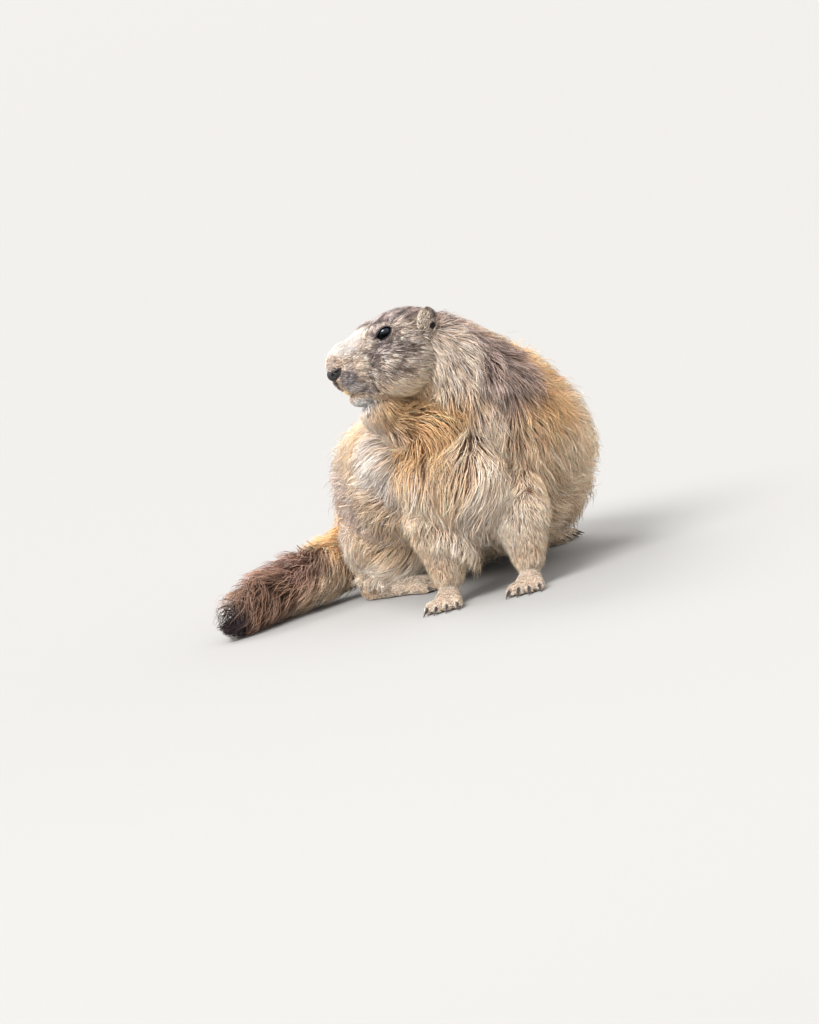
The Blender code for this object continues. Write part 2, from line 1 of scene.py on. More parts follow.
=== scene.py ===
"""The looks of a life-size alpine marmot, crouched and curled to its right with its head held up.

A skin is built under the outline of the solids, as deep as the coat, and solid tufts cover it. Lengths
are in millimetres, as measured on the animal, and place() turns them into metres round the origin.
"""

import math
from collections import namedtuple

import bmesh
import bpy
import numpy as np
from bpy.props import FloatProperty, FloatVectorProperty, IntProperty, PointerProperty
from mathutils import Matrix, Vector
from mathutils.bvhtree import BVHTree
from mathutils.kdtree import KDTree


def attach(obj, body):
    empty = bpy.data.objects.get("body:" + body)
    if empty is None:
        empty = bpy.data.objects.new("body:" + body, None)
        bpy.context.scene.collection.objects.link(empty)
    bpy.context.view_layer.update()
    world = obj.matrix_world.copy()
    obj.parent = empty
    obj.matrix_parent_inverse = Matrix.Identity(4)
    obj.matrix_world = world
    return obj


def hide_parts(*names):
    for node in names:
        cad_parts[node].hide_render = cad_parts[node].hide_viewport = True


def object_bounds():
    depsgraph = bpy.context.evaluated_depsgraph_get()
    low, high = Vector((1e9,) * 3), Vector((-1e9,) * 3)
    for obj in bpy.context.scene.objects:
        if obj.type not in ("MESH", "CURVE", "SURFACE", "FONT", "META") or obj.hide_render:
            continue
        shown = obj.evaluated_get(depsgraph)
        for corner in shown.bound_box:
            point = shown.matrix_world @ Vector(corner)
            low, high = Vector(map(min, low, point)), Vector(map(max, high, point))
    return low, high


bl_info = {
    "name": "Alpine marmot",
    "version": (1, 0, 0),
    "blender": (4, 5, 0),
    "location": "View3D > Sidebar > Marmot",
    "description": "Skin, coat, eyes, ears, nose, teeth, claws and whiskers of a life-size alpine marmot",
    "category": "Object",
}

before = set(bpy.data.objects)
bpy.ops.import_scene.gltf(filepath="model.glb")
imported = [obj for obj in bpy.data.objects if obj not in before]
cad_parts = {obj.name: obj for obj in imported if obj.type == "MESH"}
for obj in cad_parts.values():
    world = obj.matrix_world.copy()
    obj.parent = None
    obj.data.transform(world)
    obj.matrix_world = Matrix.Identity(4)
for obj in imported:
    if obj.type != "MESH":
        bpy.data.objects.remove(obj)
CAD_BOX = [list(corner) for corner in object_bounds()]

MM = 0.001
MIDDLE = Vector((15.0, 73.5, 0.0))  # of the body, in the animal's millimetres, which stands on the origin
UP = Vector((0, 0, 1))
SIDES = {1: "left", -1: "right"}
FLOOR_CLEAR = 0.0002  # metres under the skin
BODY = "root"
BAKE_MAP = "OFBake"
COLOUR = "coat_colour"
SEED = 11
ORDER_WAY = Vector((1, 0.6180339, 0.3819661))  # a slant along which few corners lie level

# Lengths of the body from end to end, out to the tips of the coat.
Station = namedtuple("Station", "x y z half_width half_height coat")
SPINE = (
    Station(73, -12, 200, 35, 33, 8),
    Station(82, -4, 176, 52, 49, 14),
    Station(92, 14, 140, 70, 62, 18),
    Station(96, 40, 108, 78, 72, 20),
    Station(101, 72, 95, 81, 80, 20),
    Station(103, 106, 90, 82, 82, 20),
    Station(84, 138, 86, 82, 80, 20),
    Station(50, 156, 78, 78, 74, 20),
    Station(18, 164, 62, 56, 54, 18),
)
WITHERS = (
    Station(78, 2, 186, 32, 32, 12),
    Station(92, 34, 161, 53, 46, 18),
    Station(102, 70, 138, 64, 54, 20),
    Station(105, 104, 120, 68, 60, 20),
)
RIGHT_FLANK = (
    Station(32, 2, 122, 40, 44, 16),
    Station(20, 44, 108, 46, 54, 20),
    Station(14, 92, 92, 50, 60, 20),
    Station(12, 138, 78, 52, 58, 20),
)
BREAST = (
    Station(33, -24, 151, 27, 26, 13),
    Station(58, -16, 134, 46, 36, 18),
    Station(60, -20, 98, 55, 46, 20),
    Station(66, -12, 66, 52, 34, 18),
)
TAIL = (
    Station(-10, 172, 46, 28, 28, 10),
    Station(-46, 160, 31, 30, 28, 14),
    Station(-86, 132, 26, 31, 27, 16),
    Station(-122, 97, 22, 27, 23, 16),
    Station(-146, 68, 13, 13, 12, 9),
)
RIGHT_THIGH = (
    Station(36, 134, 66, 44, 44, 14),
    Station(10, 122, 46, 46, 44, 12),
    Station(-8, 112, 31, 36, 31, 9),
)
LEFT_THIGH = (
    Station(66, 198, 62, 46, 48, 14),
    Station(90, 200, 46, 48, 46, 12),
    Station(108, 190, 30, 36, 31, 9),
)
RIGHT_ARM = (
    Station(44, -4, 78, 26, 27, 12),
    Station(40, -26, 44, 20, 20, 5),
    Station(38, -36, 20, 14, 14, 3.5),
)
LEFT_ARM = (
    Station(108, -17, 78, 26, 28, 12),
    Station(106, -40, 44, 20, 20, 5),
    Station(104, -50, 20, 14, 14, 3.5),
)
RUNS = (SPINE, WITHERS, RIGHT_FLANK, BREAST, TAIL, RIGHT_THIGH, LEFT_THIGH, RIGHT_ARM, LEFT_ARM)

# The head, from a point midway between the eyes: forward, to its left, and up.
BETWEEN_EYES = Vector((30.2, -25.0, 230.6))
HEAD_TURN = math.radians(15)
Lump = namedtuple("Lump", "centre radii")
Flesh = namedtuple("Flesh", "centre radii coat way")  # the way that the coat lies, in the head's directions
HEAD_FLESH = {
    "cranium": Flesh((-20, 0, -12), (34, 30, 23.5), 3.0, (-1, 0, -0.1)),
    "forehead": Flesh((4, 0, -13), (28, 22.5, 17), 2.2, (-1, 0, 0.1)),
    "bridge": Flesh((20, 0, -17), (28, 14.5, 15.5), 1.6, (-1, 0, 0.05)),
    "snout": Flesh((36, 0, -20.5), (13, 11.5, 12), 1.2, (-1, 0, 0)),
    "upper_lip": Flesh((28, 6.5, -31), (17, 10.5, 15.5), 1.0, (-1, 0.1, -0.35)),
    "cheek": Flesh((-10, 16, -32), (33, 22, 27), 4.6, (-1, 0.2, -0.45)),
    "cheek_front": Flesh((10, 10, -28), (24, 14.5, 19), 2.4, (-1, 0.15, -0.3)),
    "brow": Flesh((1, 14.5, -3.8), (16, 11.5, 8.8), 2.2, (-1, 0.2, 0)),
    "temple": Flesh((-7, 15, -11), (21, 12, 14), 2.4, (-1, 0.2, -0.1)),
    "chin": Flesh((24, 0, -50.4), (12.6, 10, 8.6), 1.3, (-0.8, 0, -0.6)),
    "jaw": Flesh((2, 0, -44), (28, 21, 17), 3.2, (-0.9, 0, -0.5)),
    "dewlap": Flesh((8, 0, -67), (24, 19, 20), 6.0, (-0.25, 0, -1)),
    "throat": Flesh((-30, 0, -40), (32, 35, 31), 8.0, (-0.5, 0, -1)),
    "occiput": Flesh((-44, 0, -28), (27, 31, 27), 6.0, (-1, 0, -0.4)),
}
EYE = Lump((0, 21.9, -3.2), (6.4, 6.4, 6.4))
EYE_LOOK = Vector((0.25, 0.95, 0.12)).normalized()
LID_THICK, LID_CLEAR = 1.3, 0.12
EYE_SLIT = (5.9, 4.0, 3.3, 4.8)  # half its length, its height above and below, and the tear corner
SLIT_DEPTH = 9.0
EYE_TILT = math.radians(28)  # the tear corner, downwards
LID_RIM = (7.7, 4.7)  # half the length and height of the bare rim round the eye
RIM_AHEAD = 0.8
NOSE = Lump((43.6, 0, -27.0), (5.4, 6.8, 5.4))
NOSE_WING = Lump((41.0, 6.4, -25.6), (5.6, 4.2, 4.6))
NOSTRIL = Lump((45.6, 6.6, -26.6), (3.6, 2.0, 2.2))
NOSTRIL_TAIL = Lump((42.4, 9.6, -24.4), (3.6, 1.8, 1.0))
NOSE_SPLIT = Lump((48.8, 0, -28.0), (2.0, 0.5, 5.0))
MOUTH_LINE = ((37.5, 0, -46.6), (36, 5, -47.0), (32, 10, -46.6), (27, 14, -45.2), (22, 16, -43.2))
MOUTH_GAP = Lump((36, 0, -46.6), (5, 5.0, 0.9))
LIP_SPLIT = ((47, 0, -31), (44, 0, -36), (41, 0, -41), (38, 0, -46))
LIP_GROOVE = 0.75
INCISOR = Lump((35.6, 1.8, -42.2), (2.4, 1.7, 5.0))
INCISOR_BOW = 1.6
INCISOR_CORNERS = 16
Ear = namedtuple("Ear", "name flap cup lean")
EAR_FLAP, EAR_CUP = (8.0, 4.4, 12.2), (3.2, 4.6, 4.0)
EARS = {  # the right one is folded out and down
    1: Ear("left", Lump((-34.5, 29.5, -2.4), EAR_FLAP), Lump((-37.4, 33.2, -8.6), EAR_CUP), math.radians(26)),
    -1: Ear("right", Lump((-36, 30.5, -6), EAR_FLAP), Lump((-38.9, 34.2, -12), EAR_CUP), math.radians(52)),
}
EAR_TUFTS = 2400
EAR_TUFT_LENGTH, EAR_TUFT_WIDTH = 2.4, 0.36

# What the photograph shows: its size, and where the point AIM of the animal is seen.
PHOTO_SIZE = (819, 1024)
PIXEL = MM / 1.22
AIM, AIM_SEEN_AT = (0, 75, 0), (405.0, 597.0)

# The four feet, from the heel to the root of the toes.
Foot = namedtuple("Foot", "heel toes half_width height digits digit_length claw")
FEET = {
    "right_hind_foot": Foot((-24, 108, 0), (16, 80, 0), 13, 19, 5, 15, 9),
    "left_hind_foot": Foot((92, 206, 0), (132, 178, 0), 13, 19, 5, 15, 9),
    "right_fore_foot": Foot((38, -34, 0), (31, -60, 0), 12, 17, 4, 14, 12),
    "left_fore_foot": Foot((104, -48, 0), (98, -74, 0), 12, 17, 4, 14, 12),
}
FOOT_LUMPS = ((0.1, 0.62, 0.72), (0.4, 0.58, 0.85), (0.7, 0.5, 0.95), (0.95, 0.42, 1.0))  # along, up, wide
DIGIT_LUMPS = ((0.1, 1.35, 1.0), (0.5, 1.45, 1.0), (0.9, 1.0, 0.95))
FOOT_COAT = 1.6
DIGIT_COAT = 0.7
DIGIT_RADIUS = 4.3
TOE_SPREAD = math.radians(26)
WHISKER_SUNK = 0.0006

FLESH_NODES = (
    "head", "neck", "chest", "rump", "tail", "right_foreleg", "left_foreleg", "right_hind_leg",
    "left_hind_leg", "right_hind_foot", "left_hind_foot", "right_fore_foot", "left_fore_foot",
)

# The coat's colours, from the root of a tuft to its tip.
Fur = namedtuple("Fur", "root tip flecked")  # flecked: the share of tufts with a dark tip
TAN = Fur((0.42, 0.22, 0.125), (0.99, 0.77, 0.555), 0.12)
CREAM = Fur((0.55, 0.35, 0.23), (0.99, 0.87, 0.735), 0.08)
WHITE = Fur((0.56, 0.44, 0.36), (0.99, 0.92, 0.86), 0.05)
OCHRE = Fur((0.23, 0.098, 0.036), (0.93, 0.59, 0.31), 0.2)
ORANGE = Fur((0.36, 0.16, 0.055), (0.96, 0.61, 0.32), 0.06)
GREY = Fur((0.17, 0.122, 0.108), (0.76, 0.61, 0.53), 0.26)
SADDLE = Fur((0.115, 0.08, 0.072), (0.52, 0.39, 0.345), 0.36)
CROWN = Fur((0.075, 0.058, 0.06), (0.50, 0.405, 0.39), 0.48)
GRIZZLE = Fur((0.10, 0.068, 0.06), (0.90, 0.73, 0.625), 0.50)
DARK = Fur((0.03, 0.024, 0.026), (0.13, 0.105, 0.105), 0.45)
MUZZLE = Fur((0.72, 0.64, 0.585), (0.93, 0.88, 0.845), 0.0)
NOSE_TIP = Fur((0.26, 0.21, 0.19), (0.70, 0.59, 0.52), 0.1)
LIP = Fur((0.045, 0.041, 0.046), (0.29, 0.275, 0.30), 0.4)
CHIN = Fur((0.32, 0.30, 0.29), (0.86, 0.84, 0.82), 0.14)
BROWN = Fur((0.09, 0.05, 0.035), (0.38, 0.23, 0.16), 0.2)
RUSSET = Fur((0.09, 0.045, 0.038), (0.42, 0.25, 0.20), 0.2)
BLACK = Fur((0.010, 0.007, 0.008), (0.036, 0.022, 0.026), 0.3)
FLECK = (0.05, 0.036, 0.032)

# Soft patches of the coat, each laid over those before it.
Patch = namedtuple("Patch", "centre radii fur strength")
BODY_PATCHES = (
    Patch((110, 130, 175), (60, 60, 40), GREY, 0.8),
    Patch((60, 190, 120), (70, 60, 60), GREY, 0.8),
    Patch((150, 0, 120), (46, 66, 46), TAN, 0.9),
    Patch((136, 20, 166), (44, 66, 42), ORANGE, 0.9),
    Patch((90, -36, 160), (36, 26, 34), CREAM, 0.75),
    Patch((70, -60, 84), (64, 44, 60), CREAM, 0.95),
    Patch((44, -34, 146), (34, 34, 26), OCHRE, 0.95),
    Patch((62, -50, 116), (22, 26, 22), OCHRE, 0.5),
    Patch((98, -34, 204), (30, 26, 24), SADDLE, 0.95),
    Patch((118, -20, 178), (24, 34, 24), SADDLE, 0.92),
    Patch((-24, 50, 110), (26, 70, 56), GREY, 0.95),
    Patch((6, -22, 130), (24, 34, 42), WHITE, 0.95),
    Patch((16, -22, 84), (16, 30, 34), SADDLE, 0.35),
    Patch((-22, 80, 70), (30, 60, 30), GREY, 0.85),
    Patch((0, 104, 38), (50, 46, 32), CREAM, 0.85),
    Patch((6, 86, 56), (30, 36, 20), ORANGE, 0.45),
    Patch((90, 210, 40), (50, 46, 34), TAN, 0.75),
    Patch((-28, 170, 52), (42, 34, 24), ORANGE, 0.95),
    Patch((-108, 112, 22), (62, 62, 46), BROWN, 1.0),
    Patch((-60, 148, 16), (34, 44, 20), TAN, 0.55),
    Patch((-96, 136, 46), (50, 36, 20), RUSSET, 0.9),
    Patch((-150, 68, 10), (36, 38, 36), BLACK, 1.0),
)
HEAD_PATCHES = (
    Patch((-4, 0, -20), (50, 44, 36), GRIZZLE, 1.0),
    Patch((-16, 0, 9), (36, 27, 14), CROWN, 0.95),
    Patch((-46, 0, 0), (26, 34, 22), SADDLE, 0.85),
    Patch((-24, 0, -64), (46, 44, 22), OCHRE, 0.9),
    Patch((4, 20, -15), (14, 10, 8), CROWN, 0.75),
    Patch((5, 23, -3), (12, 9, 9), CROWN, 0.75),
    Patch((15.8, 19, -21.7), (5.4, 8, 8), DARK, 0.75),
    Patch((-8, 27, -18.5), (8, 9, 4.6), DARK, 0.5),
    Patch((-42, 30, -32), (26, 26, 26), CREAM, 0.75),
    Patch((-2, 20, -47), (28, 20, 12), TAN, 0.55),
    Patch((14, 14, -8), (10, 7, 6), CREAM, 0.4),
    Patch((28, 0, -6), (21, 15, 11.5), MUZZLE, 1.0),
    Patch((24, 14, -26), (9, 8, 10), CREAM, 0.6),
    Patch((46.5, 0, -19), (7.5, 10, 6.5), NOSE_TIP, 0.85),
    Patch((35.5, 11, -32), (8.5, 8, 8.5), LIP, 0.85),
    Patch((43, 2, -36), (4.6, 5.5, 8), DARK, 0.85),
    Patch((31, 12, -40.5), (9, 7, 4.6), CHIN, 0.6),
    Patch((26, 14, -45.5), (10, 6, 3.2), LIP, 0.9),
    Patch((27, 0, -55), (13, 13, 7), CHIN, 0.95),
    Patch((-12, 24, 3.0), (9, 7, 5), CREAM, 0.3),
)
FOOT_FUR = Patch((0, 0, 0), (32, 32, 26), CREAM, 1.0)
EAR_FUR = Fur((0.17, 0.13, 0.10), (0.80, 0.66, 0.54), 0.25)
EAR_RIM_FUR = Fur((0.035, 0.027, 0.025), (0.17, 0.13, 0.11), 0.4)
# Painted shade, near black, deep in the ear's hollow
EAR_HOLLOW_SHADE = (0.012, 0.009, 0.009)
EAR_SKIN = (0.11, 0.08, 0.062)
LID_SKIN = (0.016, 0.013, 0.015)
LIP_SKIN = (0.03, 0.028, 0.034)
NOSE_SKIN = (0.013, 0.011, 0.012)

REGIONS = {  # a middle for each piece of the coat; a tuft belongs to the nearest
    "coat_muzzle": (-10, -38, 208),
    "coat_right_face": (48, 12, 222),
    "coat_left_face": (40, -62, 214),
    "coat_throat": (58, -46, 160),
    "coat_nape": (110, 20, 200),
    "coat_left_shoulder": (160, 10, 120),
    "coat_breast": (70, -60, 90),
    "coat_right_shoulder": (0, 0, 130),
    "coat_right_flank": (-20, 90, 110),
    "coat_back": (110, 110, 180),
    "coat_left_flank": (180, 110, 90),
    "coat_rump": (60, 230, 110),
    "coat_belly": (70, 60, 10),
    "coat_right_thigh": (-20, 110, 30),
    "coat_left_thigh": (110, 220, 30),
    "coat_tail": (-80, 130, 30),
    "coat_tail_tip": (-140, 75, 12),
    "coat_forefeet": (68, -62, 12),
}
MOST_TRIANGLES = 199000
MOST_STEP = 0.04  # how far off, in metres, the skin is looked for under a tuft
COAT_REACH = 7.5  # how far the tips may stand out from the box round the solids
LINE_SHARES = (0.36, 0.7, 1.0)  # where a tuft's rings and its tip come, after its root
LINE_HEIGHTS = (0.0, 0.52, 0.86, 1.0)  # how high they stand in the coat
TUFT_THICK = (0.75, 1.0, 0.7)
ROOT_SUNK = 0.5
LONG_COAT = 6.5  # tufts of a deeper coat have three rings, others two
PATCH_SIZE = 0.003  # of a tuft's patch on the map


class MarmotCoat(bpy.types.PropertyGroup):
    """Sizes of the coat"""

    tufts: IntProperty(name="Tufts", description="Tufts on the body, head and feet", default=113000, min=1000)
    spacing_short: FloatProperty(name="Face spacing", description="Mm between short tufts", default=0.78)
    spacing_long: FloatProperty(name="Body spacing", description="Mm between long tufts", default=1.95)
    stretch: FloatProperty(name="Stretch", description="A tuft's length for each mm of depth", default=1.65)
    width: FloatProperty(name="Width", description="Width of the thinnest tuft, in millimetres", default=0.32)
    width_gain: FloatProperty(name="Width gain", description="Width gained per mm of depth", default=0.015)
    clumping: FloatProperty(name="Clumping", description="How far tips gather", default=0.5, subtype="FACTOR")
    clump_size: IntProperty(name="Clump size", description="Tufts in a clump", default=16, min=1)
    waviness: FloatProperty(name="Waviness", description="How the lie wanders", default=0.4, subtype="FACTOR")
    flock_size: IntProperty(name="Flock size", description="Tufts that share a shade", default=9, min=1)
    hang: FloatProperty(name="Hang", description="How long coat turns down", default=0.3, subtype="FACTOR")


class MarmotColours(bpy.types.PropertyGroup):
    """Colours of the bare pieces"""

    eye: FloatVectorProperty(
        name="Eye", description="Iris", default=(0.0016, 0.0014, 0.0018), subtype="COLOR", size=3)
    nose: FloatVectorProperty(
        name="Nose", description="Nose pad", default=(0.008, 0.007, 0.008), subtype="COLOR", size=3)
    tooth: FloatVectorProperty(
        name="Tooth", description="Enamel", default=(0.70, 0.47, 0.17), subtype="COLOR", size=3)
    claw: FloatVectorProperty(
        name="Claw", description="Claws", default=(0.035, 0.026, 0.022), subtype="COLOR", size=3)
    whisker: FloatVectorProperty(
        name="Whisker", description="Whiskers", default=(0.03, 0.024, 0.022), subtype="COLOR", size=3)
    floor: FloatVectorProperty(
        name="Floor", description="Floor", default=(0.295, 0.294, 0.293), subtype="COLOR", size=3)


class MarmotSizes(bpy.types.PropertyGroup):
    """Sizes of the whiskers, the stage and the camera"""

    whisker_length: FloatProperty(name="Whisker", description="Longest whisker", default=0.036, unit="LENGTH")
    whisker_width: FloatProperty(name="Width", description="Whisker's root", default=0.00032, unit="LENGTH")
    floor_size: FloatProperty(name="Floor", description="Side of the floor", default=40.0, unit="LENGTH")
    camera_distance: FloatProperty(name="Distance", description="To the animal", default=7.0, unit="LENGTH")
    camera_rise: FloatProperty(
        name="Rise", description="Camera above the level", default=math.radians(7), unit="ROTATION")
    camera_roll: FloatProperty(
        name="Roll", description="Turn about the view", default=math.radians(14), unit="ROTATION")


def place(point):
    """Metres round the origin, from the animal's own millimetres."""
    return (Vector(point) - MIDDLE) * MM


def level_axes(ahead):
    """Columns that point to the right of a level direction, along it and up."""
    return Matrix((ahead.cross(UP), ahead, UP)).transposed()


def head_axes():
    """Columns that point forward, to the left and up from the head."""
    forward = Vector((-math.cos(HEAD_TURN), -math.sin(HEAD_TURN), 0))
    return Matrix((forward, UP.cross(forward), UP)).transposed()


def on_head(point):
    """The animal's millimetres, from a point in the head's own forward, left and up."""
    return BETWEEN_EYES + head_axes() @ Vector(point)


def sided(point, side):
    """A point or direction of the head, on its left for 1 and on its right for -1."""
    forward, left, up = point
    return Vector((forward, left * side, up))


def unit(vectors):
    """Rows made one long."""
    return vectors / np.maximum(np.linalg.norm(vectors, axis=1, keepdims=True), 1e-9)


def blend(rows, other, share):
    """Rows moved towards another value by a share for each row."""
    return rows + (np.array(other) - rows) * share[:, None]


def grown(radii, extra):
    """Radii made longer, all by the same."""
    return Vector(radii) + Vector((extra,) * 3)


def unit_ball(detail):
    """A mesh that every ellipsoid is a copy of."""
    name = f"ball_{detail}"
    if name not in bpy.data.meshes:
        bm = bmesh.new()
        bmesh.ops.create_uvsphere(bm, u_segments=detail, v_segments=detail // 2, radius=1)
        bm.to_mesh(bpy.data.meshes.new(name))
        bm.free()
    return bpy.data.meshes[name]


def add_lump(bm, centre, radii, axes=Matrix.Identity(3), detail=24):
    """A closed ellipsoid round a point of the animal, with its radii along the columns of axes."""
    ball = unit_ball(detail).copy()
    stretch = Matrix.Diagonal((*(Vector(radii) * MM), 1))
    ball.transform(Matrix.Translation(place(centre)) @ axes.to_4x4() @ stretch)
    bm.from_mesh(ball)
    bpy.data.meshes.remove(ball)


def along(stations, steps=6):
    """Stations filled in along a smooth line, each with the direction in which the line runs on."""
    rows = np.array(stations, float)
    rows = np.vstack([2 * rows[0] - rows[1], rows, 2 * rows[-1] - rows[-2]])
    filled = []
    for before, start, end, after in zip(rows, rows[1:], rows[2:], rows[3:]):
        for t in np.linspace(0, 1, steps, endpoint=False):
            bend, twist = 2 * before - 5 * start + 4 * end - after, 3 * start - before - 3 * end + after
            point = start + 0.5 * ((end - before) * t + bend * t**2 + twist * t**3)
            slope = 0.5 * (end - before) + bend * t + 1.5 * twist * t**2
            filled.append((Station(*point), Vector(slope[:3]).normalized()))
    filled.append((Station(*rows[-2]), filled[-1][1]))
    return filled


def add_run(bm, stations):
    """Overlapping ellipsoids along the stations, under the coat."""
    for station, ahead in along(stations):
        across = ahead.cross(UP).normalized()
        axes = Matrix((across, ahead, across.cross(ahead))).transposed()
        width, height = station.half_width - station.coat, station.half_height - station.coat
        add_lump(bm, station[:3], (width, 0.75 * min(width, height), height), axes)


def new_object(name, data):
    """An object in the scene that shows the data."""
    obj = bpy.data.objects.new(name, data)
    bpy.context.scene.collection.objects.link(obj)
    return obj


def object_from(bm, name):
    """An object that holds the mesh being edited, which ends here."""
    mesh = bpy.data.meshes.new(name)
    bm.to_mesh(mesh)
    bm.free()
    return new_object(name, mesh)


def head_ball(name, lump, side=1, grow=0.0, detail=24, lean=0.0):
    """An ellipsoid of the head as an object, bigger all round by grow and leaning outwards at the top."""
    axes = head_axes() @ Matrix.Rotation(-side * lean, 3, "X")
    bm = bmesh.new()
    add_lump(bm, on_head(sided(lump.centre, side)), grown(lump.radii, grow), axes, detail)
    return object_from(bm, name)


def surface_tree(obj):
    """The surface of an object, for the nearest point on it."""
    return BVHTree.FromObject(obj, bpy.context.evaluated_depsgraph_get())


def apply_modifiers(obj):
    """Makes an object's evaluated mesh its own and drops its modifiers."""
    bpy.context.view_layer.update()
    evaluated = obj.evaluated_get(bpy.context.evaluated_depsgraph_get())
    mesh = bpy.data.meshes.new_from_object(evaluated)
    obj.modifiers.clear()
    obj.data = mesh


def fuse(obj, voxel, smoothing):
    """Makes the overlapping lumps of an object one smooth closed surface."""
    remesh = obj.modifiers.new("fuse", "REMESH")
    remesh.mode = "VOXEL"
    remesh.voxel_size = voxel * MM
    smooth = obj.modifiers.new("smooth", "SMOOTH")
    smooth.factor = 0.5
    smooth.iterations = smoothing
    apply_modifiers(obj)


def combine(obj, operation, others):
    """Joins the other closed objects to this one, or cuts with them, and removes them."""
    tools = bpy.data.collections.new("tools")
    for other in others:
        tools.objects.link(other)
    boolean = obj.modifiers.new("combine", "BOOLEAN")
    boolean.operation = operation
    boolean.operand_type = "COLLECTION"
    boolean.collection = tools
    boolean.solver = "MANIFOLD"
    apply_modifiers(obj)
    put_in_order(obj)
    for other in others:
        bpy.data.objects.remove(other)
    bpy.data.collections.remove(tools)


def put_in_order(obj):
    """Sorts corners and faces by place, as the Boolean solver leaves them in any order."""
    bm = bmesh.new()
    bm.from_mesh(obj.data)
    bm.verts.sort(key=lambda vert: vert.co.dot(ORDER_WAY))
    bm.faces.sort(key=lambda face: face.calc_center_median().dot(ORDER_WAY))
    bm.to_mesh(obj.data)
    bm.free()


def prism(name, outline, depth, to_world):
    """A closed solid that stretches an outline both ways along its own Z."""
    bm = bmesh.new()
    rings = [[bm.verts.new(to_world @ Vector((x, y, z))) for x, y in outline] for z in (-depth, depth)]
    for corner in range(len(outline)):
        after = (corner + 1) % len(outline)
        bm.faces.new((rings[0][corner], rings[0][after], rings[1][after], rings[1][corner]))
    bm.faces.new(rings[0][::-1])
    bm.faces.new(rings[1])
    bmesh.ops.recalc_face_normals(bm, faces=bm.faces)
    return object_from(bm, name)


def eye_frame(side):
    """The place and turn of an eye: X to the back of the head, Y up, Z the way that it looks."""
    look = head_axes() @ sided(EYE_LOOK, side)
    back = head_axes() @ Vector((-1, 0, 0))
    back = (back - look * back.dot(look)).normalized()
    turn = Matrix((back, look.cross(back), look)).transposed()
    return Matrix.Translation(place(on_head(sided(EYE.centre, side)))) @ turn.to_4x4()


def eye_slit(side):
    """The almond that opens the lids, long towards the tear corner, in front and below."""
    half, above, below, tear = (size * MM for size in EYE_SLIT)
    frame_of_eye = eye_frame(side)
    upward = 1 if (frame_of_eye.to_3x3() @ Vector((0, 1, 0))).z > 0 else -1
    outline = []
    for turn in np.linspace(0, math.tau, 40, endpoint=False):
        x, y = math.cos(turn), math.sin(turn)
        along_slit = x * (half + (tear if x < 0 else 0) * abs(x) ** 3)
        over_slit = y * ((above if y > 0 else below) * (1 - 0.25 * (abs(x) ** 4)))
        outline.append((along_slit * math.cos(EYE_TILT) - over_slit * math.sin(EYE_TILT),
                        (along_slit * math.sin(EYE_TILT) + over_slit * math.cos(EYE_TILT)) * upward))
    shift = Matrix.Translation(Vector((0, 0, SLIT_DEPTH * MM)))
    return prism("slit", outline, SLIT_DEPTH * MM, frame_of_eye @ shift)


def groove(name, path, surface):
    """A round cutter that follows a path along a surface."""
    curve = bpy.data.curves.new(name, "CURVE")
    curve.dimensions = "3D"
    curve.bevel_depth = LIP_GROOVE * MM
    curve.bevel_resolution = 2
    curve.use_fill_caps = True
    spline = curve.splines.new("POLY")
    points = [surface.find_nearest(place(on_head(point)))[0] for point in path]
    spline.points.add(len(points) - 1)
    for knot, point in zip(spline.points, points):
        knot.co = (*point, 1)
    line = new_object(name, curve)
    bpy.context.view_layer.update()
    mesh = bpy.data.meshes.new_from_object(line.evaluated_get(bpy.context.evaluated_depsgraph_get()))
    bpy.data.objects.remove(line)
    bm = bmesh.new()
    bm.from_mesh(mesh)
    bmesh.ops.remove_doubles(bm, verts=bm.verts, dist=0.00001)
    bmesh.ops.recalc_face_normals(bm, faces=bm.faces)
    return object_from(bm, name)


def flesh_of_head():
    """Each lump of the head, on both sides if it lies off the middle, with its side and its place."""
    for flesh in HEAD_FLESH.values():
        for side in SIDES if flesh.centre[1] else (1,):
            yield flesh, side, on_head(sided(flesh.centre, side))


def make_head_skin():
    """The head under its coat, with open lids and the mouth."""
    bm = bmesh.new()
    for flesh, _, centre in flesh_of_head():
        add_lump(bm, centre, grown(flesh.radii, -flesh.coat), head_axes(), 32)
    for side in SIDES:
        add_lump(bm, on_head(sided(EYE.centre, side)), grown(EYE.radii, LID_THICK), detail=32)
    head = object_from(bm, "head_skin")
    fuse(head, 0.85, 7)
    surface = surface_tree(head)
    cutters = [head_ball("mouth_gap", MOUTH_GAP)]
    right_line = [(forward, -side, up) for forward, side, up in MOUTH_LINE]
    cutters += [groove("mouth_line", line, surface) for line in (MOUTH_LINE, right_line, LIP_SPLIT)]
    for side in SIDES:
        cutters.append(head_ball("socket", EYE, side, LID_CLEAR, 40))
        cutters.append(eye_slit(side))
        cutters.append(head_ball("tooth_seat", INCISOR, side, 0.3, 16))
    cutters.append(head_ball("nose_seat", NOSE, 1, -0.4, 32))
    combine(head, "DIFFERENCE", cutters)
    return head


